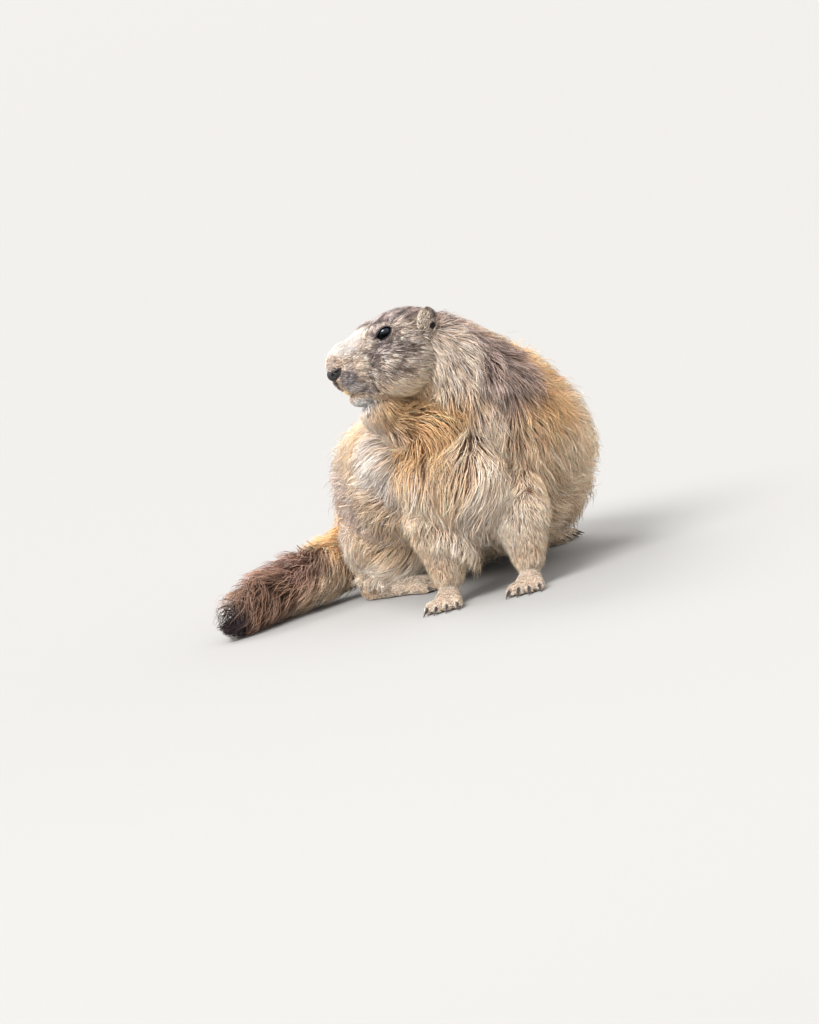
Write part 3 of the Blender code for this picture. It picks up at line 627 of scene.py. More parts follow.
def make_foot_skin(name, foot):
    """A foot with its toes, on the floor."""
    heel, toes = Vector(foot.heel), Vector(foot.toes)
    ahead = (toes - heel).normalized()
    length = (toes - heel).length
    bm = bmesh.new()
    for share, height, width in FOOT_LUMPS:
        rise = foot.height * height
        radii = (foot.half_width * width - FOOT_COAT, length * 0.32, rise - FOOT_COAT)
        centre = heel.lerp(toes, share) + UP * (rise * 0.8 - FOOT_COAT * 0.3)
        add_lump(bm, centre, radii, level_axes(ahead), 32)
    for root, way, reach in digits_of(foot):
        for share, rise, thick in DIGIT_LUMPS:
            centre = root + way * reach * share + UP * DIGIT_RADIUS * rise * 0.82
            radius = DIGIT_RADIUS * thick - DIGIT_COAT
            add_lump(bm, centre, (radius, DIGIT_RADIUS * 1.35 - DIGIT_COAT, radius), level_axes(way))
    pad = object_from(bm, name)
    fuse(pad, 0.95, 3)
    return pad


def digits_of(foot):
    """The root, direction and reach of each toe."""
    heel, toes = Vector(foot.heel), Vector(foot.toes)
    ahead = (toes - heel).normalized()
    across = ahead.cross(UP)
    for number in range(foot.digits):
        offset = 2 * number / (foot.digits - 1) - 1
        way = Matrix.Rotation(-offset * TOE_SPREAD / 2, 3, "Z") @ ahead
        root = toes + across * offset * (foot.half_width - DIGIT_RADIUS * 0.6)
        yield root, way, foot.digit_length * (1 - 0.22 * abs(offset) ** 1.5)


def below_floor():
    """A box that fills what is under the floor."""
    bm = bmesh.new()
    bmesh.ops.create_cube(bm, size=1.0)
    bmesh.ops.translate(bm, verts=bm.verts, vec=(0, 0, -0.5 + FLOOR_CLEAR))
    return object_from(bm, "below_floor")


def make_skin():
    """One skin for the whole animal, unwrapped so that the coat's markings can be painted on it."""
    bm = bmesh.new()
    for run in RUNS:
        add_run(bm, run)
    skin = object_from(bm, "skin")
    fuse(skin, 2.8, 8)
    feet = [make_foot_skin(name, foot) for name, foot in FEET.items()]
    combine(skin, "UNION", [make_head_skin()] + feet)
    combine(skin, "DIFFERENCE", [below_floor()])
    bm = bmesh.new()
    bm.from_mesh(skin.data)
    bmesh.ops.triangulate(bm, faces=bm.faces)
    bm.to_mesh(skin.data)
    bm.free()
    keep_largest(skin)
    unwrap(skin)
    return skin


def keep_largest(obj):
    """Drops every closed surface of an object but the one with most corners."""
    bm = bmesh.new()
    bm.from_mesh(obj.data)
    pending, shells = set(bm.verts), []
    while pending:
        stack, shell = [pending.pop()], set()
        while stack:
            vert = stack.pop()
            shell.add(vert)
            for edge in vert.link_edges:
                other = edge.other_vert(vert)
                if other in pending:
                    pending.remove(other)
                    stack.append(other)
        shells.append(shell)
    largest = max(shells, key=len)
    bmesh.ops.delete(bm, geom=[vert for vert in bm.verts if vert not in largest], context="VERTS")
    bm.to_mesh(obj.data)
    bm.free()


def unwrap(obj):
    """Lays the surface out flat in a map of its own."""
    while obj.data.uv_layers:
        obj.data.uv_layers.remove(obj.data.uv_layers[0])
    obj.data.uv_layers.new(name=BAKE_MAP)
    bpy.ops.object.select_all(action="DESELECT")
    obj.select_set(True)
    bpy.context.view_layer.objects.active = obj
    bpy.ops.object.mode_set(mode="EDIT")
    bpy.ops.mesh.select_all(action="SELECT")
    bpy.ops.uv.smart_project(angle_limit=math.radians(70), island_margin=0.002)
    bpy.ops.object.mode_set(mode="OBJECT")


def animal_points(metres):
    """The animal's millimetres, from rows of metres."""
    return metres / MM + np.array(MIDDLE)


def metre_points(points):
    """Rows of metres, from the animal's millimetres."""
    return (points - np.array(MIDDLE)) * MM


def head_points(points):
    """Rows in the head's own forward, left and up, from rows of the animal's millimetres."""
    return (points - np.array(BETWEEN_EYES)) @ np.array(head_axes())


class CoatField:
    """How the coat lies and how deep it is, from points strewn through the body."""

    SPREAD = 0.32  # how far a point has a say, for each millimetre of its radius
    BLOCK = 8000  # rows worked out at a time

    def __init__(self, hang):
        self.hang = hang
        rows = []
        for run in RUNS:
            for station, ahead in along(run):
                radius = (station.half_width + station.half_height) / 2
                rows.append((*station[:3], radius, station.coat, *ahead))
        for flesh, side, centre in flesh_of_head():
            way = (head_axes() @ sided(flesh.way, side)).normalized()
            rows.append((*centre, sum(flesh.radii) / 3, flesh.coat, *way))
        for foot in FEET.values():
            heel, toes = Vector(foot.heel), Vector(foot.toes)
            for share in np.linspace(0, 1.5, 7):
                point = heel.lerp(toes, share) + UP * 6
                rows.append((*point, 14, FOOT_COAT, *(toes - heel).normalized()))
        rows = np.array(rows, np.float32)
        self.middles, self.coats, self.ways = rows[:, :3], rows[:, 4], rows[:, 5:8]
        self.reach = (self.SPREAD * rows[:, 3]) ** 2

    def at(self, points):
        """The direction and depth of the coat at rows of the animal's millimetres."""
        ways, coats = [], []
        own = (self.middles**2).sum(axis=1)
        for block in np.array_split(np.asarray(points, np.float32), max(1, len(points) // self.BLOCK)):
            apart = (block**2).sum(axis=1)[:, None] - 2 * block @ self.middles.T + own
            closeness = -apart / self.reach
            weights = np.exp(closeness - closeness.max(axis=1, keepdims=True))
            weights /= weights.sum(axis=1, keepdims=True)
            ways.append(weights @ self.ways)
            coats.append(weights @ self.coats)
        ways, coats = np.vstack(ways), np.concatenate(coats)
        ways[:, 2] -= self.hang * np.clip(coats / 20, 0, 1)
        return ways, coats


def wander(points, size, rng):
    """A smooth random direction for each row, which changes over that many millimetres."""
    total = np.zeros_like(points)
    for _ in range(5):
        wave, start = rng.normal(0, 2.2 / size, (3, 3)), rng.random(3) * math.tau
        total += np.sin(points @ wave + start)
    return total / 2.5


def markings(points):
    """The coat's root colour, tip colour and share of dark tips at rows of the animal's millimetres."""
    count = len(points)
    root = np.tile(np.array(TAN.root, float), (count, 1))
    tip = np.tile(np.array(TAN.tip, float), (count, 1))
    flecked = np.full(count, TAN.flecked)
    local = head_points(points)
    local[:, 1] = np.abs(local[:, 1])
    layers = [(points, patch) for patch in BODY_PATCHES]
    for foot in FEET.values():
        middle = Vector(foot.heel).lerp(Vector(foot.toes), 0.7)
        layers.append((points, FOOT_FUR._replace(centre=middle)))
    layers += [(local, patch) for patch in HEAD_PATCHES]
    for where, patch in layers:
        apart = np.linalg.norm((where - np.array(patch.centre)) / np.array(patch.radii), axis=1)
        soft = np.clip((1.25 - apart) / 0.6, 0, 1)
        share = patch.strength * (soft * soft * (3 - 2 * soft))
        root, tip = blend(root, patch.fur.root, share), blend(tip, patch.fur.tip, share)
        flecked += (patch.fur.flecked - flecked) * share
    return root, tip, flecked


def eye_apart(points, side):
    """How far rows of the head's points are from an eye's line of sight, and how far along it."""
    from_eye = points - np.array(sided(EYE.centre, side))
    look = np.array(sided(EYE_LOOK, side))
    ahead = from_eye @ look
    return from_eye - ahead[:, None] * look, ahead


def rim_share(away, ahead):
    """How far out rows lie towards the outline of the bare rim of an eye, which is 1."""
    forward, up = away[:, 0] - RIM_AHEAD, away[:, 2]
    along_slit = forward * math.cos(EYE_TILT) - up * math.sin(EYE_TILT)
    over_slit = forward * math.sin(EYE_TILT) + up * math.cos(EYE_TILT)
    share = np.hypot(along_slit / LID_RIM[0], over_slit / LID_RIM[1])
    return np.where(ahead > -2, share, 9.0)


def mouth_apart(points, side):
    """How far rows of the head's points are from each stretch of the mouth's line."""
    line = np.array([sided(point, side) for point in MOUTH_LINE])
    for start, end in zip(line, line[1:]):
        share = np.clip((points - start) @ (end - start) / ((end - start) @ (end - start)), 0, 1)
        yield np.linalg.norm(points - start - share[:, None] * (end - start), axis=1)


def bare(points):
    """Which rows of the animal's millimetres carry no tuft: lids, lips, the nose, soles."""
    local = head_points(points)
    none = points[:, 2] < 0.8
    for side in SIDES:
        none |= rim_share(*eye_apart(local, side)) < 0.9
        for apart in mouth_apart(local, side):
            none |= apart < 1.0
    return none | (nose_share(local) < 1)


def nose_share(points):
    """How far out rows of the head's points lie from the nose pad, whose outline is 1."""
    aside = points.copy()
    aside[:, 1] = np.abs(aside[:, 1])
    shares = [np.linalg.norm((aside - np.array(lump.centre)) / (np.array(lump.radii) + 0.3), axis=1)
              for lump in (NOSE, NOSE_WING)]
    return np.minimum(*shares)


def short_by_the_eyes(points):
    """A factor for the coat's length and depth, small round the eyes."""
    local = head_points(points)
    factor = np.ones(len(points))
    for side in SIDES:
        away, ahead = eye_apart(local, side)
        apart = np.linalg.norm(away, axis=1)
        factor = np.where(np.abs(ahead) < 14, np.minimum(factor, np.clip((apart - 3.5) / 8, 0.4, 1)), factor)
    return factor


def round_the_eyes(points, ways):
    """Turns the coat's direction away from the eyes close to them."""
    local = head_points(points)
    axes = np.array(head_axes())
    for side in SIDES:
        away, ahead = eye_apart(local, side)
        apart = np.linalg.norm(away, axis=1)
        share = np.exp(-((apart / 8.5) ** 4)) * (ahead > -4) * (ahead < 14)
        outward = unit(away) @ axes.T
        ways = ways * (1 - share[:, None]) + outward * share[:, None]
    return ways


def read_rows(items, name, width, kind=float):
    """What a mesh keeps for each of its items, as rows."""
    rows = np.zeros(len(items) * width, kind)
    items.foreach_get(name, rows)
    return rows.reshape(-1, width)


def strewn(obj, count, rng, spacing=None):
    """Random places on an unwrapped surface, as millimetres, normals and corners of its map."""
    mesh = obj.data
    mesh.calc_loop_triangles()
    corners = read_rows(mesh.loop_triangles, "vertices", 3, int)
    loops = read_rows(mesh.loop_triangles, "loops", 3, int)
    places = animal_points(read_rows(mesh.vertices, "co", 3))[corners]
    chance = np.linalg.norm(np.cross(places[:, 1] - places[:, 0], places[:, 2] - places[:, 0]), axis=1)
    if spacing:
        chance = chance / spacing(places.mean(axis=1)) ** 2
    picked = rng.choice(len(chance), size=count, p=chance / chance.sum())
    shares = rng.dirichlet((1, 1, 1), size=count)[:, :, None]
    normals = read_rows(mesh.vertices, "normal", 3)[corners[picked]]
    flat = read_rows(mesh.uv_layers[BAKE_MAP].data, "uv", 2)[loops[picked]]
    points, outs, spots = ((rows * shares).sum(axis=1) for rows in (places[picked], normals, flat))
    return points, unit(outs), spots


def march(points, normals, lengths, field, surface, noise, turns):
    """Lines that follow the coat's lie over the surface: points and normals for each share of the length."""
    line, normal_line, done = [points], [normals], 0.0
    here, outward = points, normals
    for share in LINE_SHARES:
        ways, _ = field.at(here)
        ways = round_the_eyes(here, unit(ways)) + noise
        ways = unit(ways - outward * np.sum(ways * outward, axis=1)[:, None])
        side = np.cross(outward, ways)
        ways = ways * np.cos(turns)[:, None] + side * np.sin(turns)[:, None]
        target = here + ways * (lengths * (share - done))[:, None]
        near_points, near_normals = np.empty_like(target), np.empty_like(target)
        for row, goal in enumerate(metre_points(target)):
            spot, outside, _, _ = surface.find_nearest(goal, MOST_STEP)
            near_points[row], near_normals[row] = spot, outside
        here, outward, done = animal_points(near_points), near_normals, share
        line.append(here)
        normal_line.append(outward)
    return line, normal_line


def clump_leaders(points, size):
    """For each row, the row of the nearest leader, where the first rows lead."""
    leaders = max(1, len(points) // size)
    tree = KDTree(leaders)
    for row in range(leaders):
        tree.insert(points[row], row)
    tree.balance()
    return np.array([tree.find(point)[1] for point in points])


def build_tufts(lines, sides, outs, widths, colours, spots):
    """One mesh of closed, three-sided tufts that taper from their rings to a tip."""
    rings, count = len(lines) - 1, len(lines[0])
    corners, paints, flats = [], [], []
    for ring in range(rings):
        half = sides * (widths * TUFT_THICK[ring] / 2)[:, None]
        lift = outs[ring] * (widths * TUFT_THICK[ring] * 0.55)[:, None]
        for offset, across in ((-half, -0.5), (half, 0.5), (lift, 0.0)):
            corners.append(lines[ring] + offset)
            paints.append(colours[ring])
            flats.append(spots + np.array((across, ring / rings - 0.5)) * PATCH_SIZE)
    corners.append(lines[-1])
    paints.append(colours[-1])
    flats.append(spots + np.array((0, 0.5)) * PATCH_SIZE)
    per = rings * 3 + 1
    triangles = [(0, 2, 1)]
    for ring in range(rings - 1):
        for side in range(3):
            a, b = ring * 3 + side, ring * 3 + (side + 1) % 3
            triangles += [(a, b, b + 3), (a, b + 3, a + 3)]
    last = (rings - 1) * 3
    triangles += [(last + side, last + (side + 1) % 3, per - 1) for side in range(3)]
    triangles = np.array(triangles)
    places = metre_points(np.stack(corners, axis=1).reshape(-1, 3))
    paint = np.stack(paints, axis=1).reshape(-1, 3)
    flat = np.stack(flats, axis=1).reshape(-1, 2)
    faces = (triangles[None] + (np.arange(count) * per)[:, None, None]).reshape(-1, 3)
    return places, paint, flat, faces


def mesh_piece(name, parts, material):
    """One object from the places, colours, maps and triangles of several batches."""
    starts = np.cumsum([0] + [len(part[0]) for part in parts])
    places, paint, flat, faces = (np.concatenate(rows) for rows in zip(*parts))
    faces = faces + np.repeat(starts[:-1], [len(part[3]) for part in parts])[:, None]
    if len(faces) > MOST_TRIANGLES:
        raise RuntimeError(f"{name} has {len(faces)} triangles")
    mesh = bpy.data.meshes.new(name)
    mesh.vertices.add(len(places))
    mesh.vertices.foreach_set("co", places.astype(np.float32).ravel())
    mesh.loops.add(faces.size)
    mesh.loops.foreach_set("vertex_index", faces.ravel().astype(np.int32))
    mesh.polygons.add(len(faces))
    mesh.polygons.foreach_set("loop_start", np.arange(0, faces.size, 3, dtype=np.int32))
    mesh.update(calc_edges=True)
    set_colours(mesh, paint)
    layer = mesh.uv_layers.new(name=BAKE_MAP)
    layer.data.foreach_set("uv", flat[faces.ravel()].astype(np.float32).ravel())
    mesh.shade_smooth()
    mesh.materials.append(material)
    return new_object(name, mesh)


def tuft_colours(root, tip, flecked, flock, rings, rng):
    """A colour for each ring of each tuft and for its tip, from a shade in -1 to 1 that its flock shares."""
    count = len(root)
    own = rng.normal(0, 1, count)
    bright = np.exp((own * 0.6 + flock * 1.4) * (0.11 + 0.7 * flecked))[:, None]
    warm = 1 + rng.normal(0, 0.05, (count, 1)) * np.array((1, 0, -1))
    dark_tipped = rng.random(count) * 0.3 + (flock + 1) * 0.35 < flecked
    pale = rng.random(count) < 0.10
    root, tip = root * bright * warm, tip * bright * warm
    tip = np.where(pale[:, None], np.minimum(tip * 1.35 + 0.05, 0.95), tip)
    end = np.where(dark_tipped[:, None], np.array(FLECK) * bright, tip)
    shares = np.linspace(0, 1, rings + 1) ** 0.7
    colours = [root * 0.8 + (tip - root * 0.8) * share for share in shares[:-1]]
    if rings > 2:
        colours[-1] = np.where(dark_tipped[:, None], colours[-1] * 0.8, colours[-1])
    return [np.clip(colour, 0, 1) for colour in (*colours, end)]


def grow_coat(skin, material):
    """Covers the skin with tufts, and returns the pieces."""
    coat = bpy.context.scene.marmot_coat
    rng = np.random.default_rng(SEED)
    field = CoatField(coat.hang)

    def spacing(places):
        _, depth = field.at(places)
        return coat.spacing_short + (coat.spacing_long - coat.spacing_short) * np.clip((depth - 2) / 18, 0, 1)

    points, normals, spots = strewn(skin, coat.tufts, rng, spacing)
    kept = ~bare(points)
    points, normals, spots = points[kept], normals[kept], spots[kept]
    _, depth = field.at(points)
    depth = depth * short_by_the_eyes(points)
    lines, outs = tuft_lines(points, normals, depth, field, surface_tree(skin), rng)
    ahead = unit(lines[2] - lines[0])
    sides = unit(np.cross(ahead, outs[1]))
    twist = rng.uniform(-0.7, 0.7, len(points))
    sides = unit(sides * np.cos(twist)[:, None] + outs[1] * np.sin(twist)[:, None])
    widths = (coat.width + coat.width_gain * depth) * np.exp(rng.normal(0, 0.15, len(points)))
    root, tip, flecked = markings(points)
    flock = rng.uniform(-1, 1, len(points))[clump_leaders(points, coat.flock_size)]
    middles = np.array(list(REGIONS.values()), float)
    region = np.argmin(np.linalg.norm(points[:, None] - middles[None], axis=2), axis=1)
    pieces = []
    for number, name in enumerate(REGIONS):
        parts = []
        for long, used in ((True, (0, 1, 2, 3)), (False, (0, 1, 3))):
            rows = np.nonzero((region == number) & ((depth > LONG_COAT) == long))[0]
            if not len(rows):
                continue
            colours = tuft_colours(root[rows], tip[rows], flecked[rows], flock[rows], len(used) - 1, rng)
            ring_lines, ring_outs = [lines[ring][rows] for ring in used], [outs[ring][rows] for ring in used]
            parts.append(build_tufts(ring_lines, sides[rows], ring_outs, widths[rows], colours, spots[rows]))
        pieces.append(mesh_piece(name, parts, material))
    return pieces


def tuft_lines(points, normals, depth, field, surface, rng):
    """Each tuft's points from root to tip, gathered in clumps and kept near the solids, and its normals."""
    coat, count = bpy.context.scene.marmot_coat, len(points)
    lengths = (1.1 + coat.stretch * depth) * np.exp(np.clip(rng.normal(0, 0.18, count), -0.5, 0.28))
    noise = wander(points, 26, rng) * coat.waviness + wander(points, 9, rng) * coat.waviness * 0.5
    noise *= np.clip(depth / 14, 0.25, 1)[:, None]
    turns = rng.normal(0, math.radians(9), count)
    line, outs = march(points, normals, lengths, field, surface, noise, turns)
    rise = depth * np.exp(rng.normal(0, 0.16, count)) * 0.98
    leader = clump_leaders(points, coat.clump_size)
    pull = coat.clumping * np.clip(depth / 12, 0.12, 1) * rng.uniform(0.55, 1.15, count)
    low, high = (animal_points(np.array(corner)) + way * COAT_REACH for corner, way in zip(CAD_BOX, (-1, 1)))
    lines = []
    for spot, out, height, share in zip(line, outs, LINE_HEIGHTS, (0, *LINE_SHARES)):
        ring = spot + out * (rise * height - (0 if share else ROOT_SUNK))[:, None]
        gather = np.clip(pull * share**1.3, 0, 0.92)[:, None]
        ring = np.clip(ring + (ring[leader] - ring) * gather, low, high)
        ring[:, 2] = np.maximum(ring[:, 2], 0.9 if share else 0.4)
        lines.append(ring)
    return lines, outs


def paint_skin(skin):
    """The coat's markings on the skin, darker, as its roots are."""
    points = animal_points(read_rows(skin.data.vertices, "co", 3))
    root, tip, _ = markings(points)
    colours = root * 0.55 + tip * 0.2
    local = head_points(points)
    for side in SIDES:
        rim = np.clip((1.08 - rim_share(*eye_apart(local, side))) / 0.14, 0, 1)
        colours = blend(colours, LID_SKIN, rim)
        for apart in mouth_apart(local, side):
            colours = blend(colours, LIP_SKIN, np.clip((3.4 - apart) / 1.4, 0, 1))
    colours = blend(colours, NOSE_SKIN, np.clip((1.2 - nose_share(local)) / 0.1, 0, 1))
    set_colours(skin.data, colours)


def set_colours(mesh, colours):
    """Keeps a row of red, green and blue with each corner of a mesh."""
    layer = mesh.attributes.new(COLOUR, "FLOAT_COLOR", "POINT")
    rows = np.hstack([colours, np.ones((len(colours), 1))])
    layer.data.foreach_set("color", rows.astype(np.float32).ravel())


def new_material(name):
    """A material with its tree and its shader."""
    material = bpy.data.materials.new(name)
    material.use_nodes = True
    return material, material.node_tree, material.node_tree.nodes["Principled BSDF"]


def add_node(tree, kind, values=(), **settings):
    """A node with its settings, and values on inputs, each given as a name and a value."""
    node = tree.nodes.new(kind)
    for name, value in settings.items():
        setattr(node, name, value)
    for name, value in values:
        node.inputs[name].default_value = value
    return node


def join(tree, *links):
    """Joins sockets, each link given as a node, its output, the next node and its input."""
    for source, output, target, given in links:
        tree.links.new(source.outputs[output], target.inputs[given])


def noise_bump(tree, shader, scale, strength, distance):
    """Fine relief from noise on the object's own coordinates."""
    where = add_node(tree, "ShaderNodeTexCoord")
    noise = add_node(tree, "ShaderNodeTexNoise", (("Scale", scale), ("Detail", 4.0)))
    bump = add_node(tree, "ShaderNodeBump", (("Strength", strength), ("Distance", distance)))
    join(tree, (where, "Object", noise, "Vector"), (noise, "Fac", bump, "Height"),
         (bump, "Normal", shader, "Normal"))
    return noise


def varied_colour(tree, shader, noise, low, high, colour=None):
    """A colour, or the one that the coat and the skin carry, made lighter and darker by noise."""
    spread = add_node(tree, "ShaderNodeMapRange", (("To Min", low), ("To Max", high)))
    scaled = add_node(tree, "ShaderNodeVectorMath", operation="SCALE")
    join(tree, (noise, "Fac", spread, "Value"), (spread, "Result", scaled, "Scale"),
         (scaled, "Vector", shader, "Base Color"))
    if colour:
        scaled.inputs[0].default_value = colour
    else:
        join(tree, (add_node(tree, "ShaderNodeAttribute", attribute_name=COLOUR), "Color", scaled, 0))


def painted_material(name, roughness, specular, relief, low, high):
    """Hair or skin in the colours painted on it, with fine relief: its scale, strength and distance."""
    material, tree, shader = new_material(name)
    shader.inputs["Roughness"].default_value = roughness
    shader.inputs["Specular IOR Level"].default_value = specular
    varied_colour(tree, shader, noise_bump(tree, shader, *relief), low, high)
    return material


def eye_material():
    """A dark, wet eye, with a reflection painted strong on its upper half and painted shade from the lower
    lid on its lower half.
    """
    material, tree, shader = new_material("marmot_eye")
    shader.inputs["Roughness"].default_value = 0.08
    # Painted reflection and shade: the specular level is set low under the eye's middle and high above it,
    # and the reflections are tinted blue like a sky.
    shader.inputs["Specular Tint"].default_value = (0.72, 0.84, 1.0, 1)
    level = place(on_head(EYE.centre)).z
    where = add_node(tree, "ShaderNodeTexCoord")
    height = add_node(tree, "ShaderNodeSeparateXYZ")
    heights = (("From Min", level - 0.5 * MM), ("From Max", level + 2.6 * MM))
    painted_reflection = add_node(tree, "ShaderNodeMapRange", (*heights, ("To Min", 0.05), ("To Max", 0.7)))
    join(tree, (where, "Object", height, "Vector"), (height, "Z", painted_reflection, "Value"),
         (painted_reflection, "Result", shader, "Specular IOR Level"))
    varied_colour(tree, shader, noise_bump(tree, shader, 500, 0.02, 0.0001), 0.6, 1.4)
    return material


def hide_material(name, colour, roughness, scale, strength, coat=0.0, low=0.7, high=1.3):
    """Leathery or horny stuff with fine relief."""
    material, tree, shader = new_material(name)
    shader.inputs["Roughness"].default_value = roughness
    shader.inputs["Coat Weight"].default_value = coat
    shader.inputs["Coat Roughness"].default_value = 0.25
    varied_colour(tree, shader, noise_bump(tree, shader, scale, strength, 0.0003), low, high, tuple(colour))
    return material


def finish_piece(obj, replaces=()):
    """Rides on the body and stands for the nodes named, which are hidden."""
    if replaces:
        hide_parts(*replaces)
    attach(obj, BODY)
    return obj


def set_material(obj, material):
    """Gives a piece its one material, shaded smooth."""
    obj.data.materials.clear()
    obj.data.materials.append(material)
    obj.data.shade_smooth()


def make_eye(side, name, colour):
    """An eyeball with a wide dark pupil."""
    eye = head_ball(name, EYE, side, 0, 64)
    local = head_points(animal_points(read_rows(eye.data.vertices, "co", 3)))
    _, ahead = eye_apart(local, side)
    iris = np.clip((0.86 - ahead / EYE.radii[0]) / 0.08, 0, 1)
    set_colours(eye.data, np.array(colour[:]) * (0.15 + 0.85 * iris)[:, None])
    return eye


def make_nose():
    """The nose pad, with its wings, nostrils and the split between them."""
    nose = head_ball("nose_pad", NOSE, 1, 0, 48)
    combine(nose, "UNION", [head_ball("wing", NOSE_WING, side, 0, 48) for side in SIDES])
    fuse(nose, 0.35, 5)
    cutters = [head_ball("split", NOSE_SPLIT, detail=32)]
    for side in SIDES:
        cutters.append(head_ball("nostril", NOSTRIL, side, 0, 32))
        cutters.append(head_ball("nostril_tail", NOSTRIL_TAIL, side, 0, 32))
    combine(nose, "DIFFERENCE", cutters)
    fuse(nose, 0.3, 1)
    return nose


def make_incisor(side, name):
    """A chisel tooth, flat in front and bevelled behind."""
    bm = bmesh.new()
    forward, left, up = INCISOR.centre
    thick, wide, tall = INCISOR.radii
    rings = []
    for share in np.linspace(-1, 1, 9):
        ahead = forward + INCISOR_BOW * (1 - share**2) - 0.6
        depth = thick * (0.75 if share > -0.5 else 0.75 * (share + 1.1) / 0.6)
        ring = []
        for turn in np.linspace(0, math.tau, INCISOR_CORNERS, endpoint=False):
            c, s = math.cos(turn), math.sin(turn)
            front = math.copysign(abs(c) ** 0.82, c) * depth
            across = math.copysign(abs(s) ** 0.6, s) * wide * 0.95
            corner = sided((ahead + front, left + across, up + share * tall * 0.92), side)
            ring.append(bm.verts.new(place(on_head(corner))))
        rings.append(ring)
    for lower, upper in zip(rings, rings[1:]):
        for corner in range(INCISOR_CORNERS):
            after = (corner + 1) % INCISOR_CORNERS
            bm.faces.new((lower[corner], lower[after], upper[after], upper[corner]))
    bm.faces.new(rings[0][::-1])
    bm.faces.new(rings[-1])
    bmesh.ops.recalc_face_normals(bm, faces=bm.faces)
    return object_from(bm, name)


def make_ear(side, ear):
    """The flap of an ear, with its hollow, unwrapped and painted: its skin, and painted shade that turns near
    black in the hollow.
    """
    flap = head_ball(f"ear_flap_{ear.name}", ear.flap, side, -0.4, 48, ear.lean)
    combine(flap, "DIFFERENCE", [head_ball("cup", ear.cup, side, 0, 40, ear.lean)])
    fuse(flap, 0.4, 3)
    unwrap(flap)
    local = head_points(animal_points(read_rows(flap.data.vertices, "co", 3)))
    # Painted shade: the skin turns near black towards the middle of the hollow.
    dark = np.clip((1.3 - cup_share(local, side, ear)) / 0.25, 0, 1)
    set_colours(flap.data, blend(np.tile(EAR_SKIN, (len(local), 1)), EAR_HOLLOW_SHADE, dark))
    return flap


def cup_share(points, side, ear):
    """How far out rows of the head's points lie from the middle of an ear's hollow, whose wall is 1."""
    from_cup = (points - np.array(sided(ear.cup.centre, side))) * np.array((1, side, 1))
    return np.linalg.norm(from_cup / np.array(ear.cup.radii), axis=1)


def ear_tufts(flap, side, ear, rng):
    """Short tufts over one ear, tan in front and dark along the rim behind."""
    points, outs, spots = strewn(flap, EAR_TUFTS, rng)
    local = head_points(points)
    kept = cup_share(local, side, ear) > 1.12
    points, outs, spots, local = points[kept], outs[kept], spots[kept], local[kept]
    forward, _, up = (local - np.array(sided(ear.flap.centre, side))).T
    rise = np.array(head_axes() @ Vector((-0.45, 0.1 * side, 1)))
    ways = unit(rise + rng.normal(0, 0.16, points.shape))
    ways = unit(ways - outs * np.sum(ways * outs, axis=1)[:, None])
    reach = ways * (EAR_TUFT_LENGTH * np.exp(rng.normal(0, 0.15, len(points))))[:, None]
    lines = [points - outs * 0.3, points + reach * 0.5 + outs * 0.6, points + reach + outs * 0.7]
    sides = unit(np.cross(ways, outs))
    widths = EAR_TUFT_WIDTH * np.exp(rng.normal(0, 0.12, len(points)))
    behind = np.clip((-forward - 0.5) / 3, 0, 1) * np.clip((up + 3) / 5, 0, 1)
    over = np.clip((up - 6) / 3, 0, 1) * np.clip((4 - forward) / 3, 0, 1)
    root, tip = (blend(np.tile(own, (len(points), 1)), rim, np.maximum(behind, over))
                 for own, rim in zip(EAR_FUR[:2], EAR_RIM_FUR[:2]))
    flock = rng.uniform(-1, 1, len(points))[clump_leaders(points, 5)]
    colours = tuft_colours(root, tip, np.full(len(points), EAR_FUR.flecked), flock, 2, rng)
    return build_tufts(lines, sides, [outs, outs, outs], widths, colours, spots)


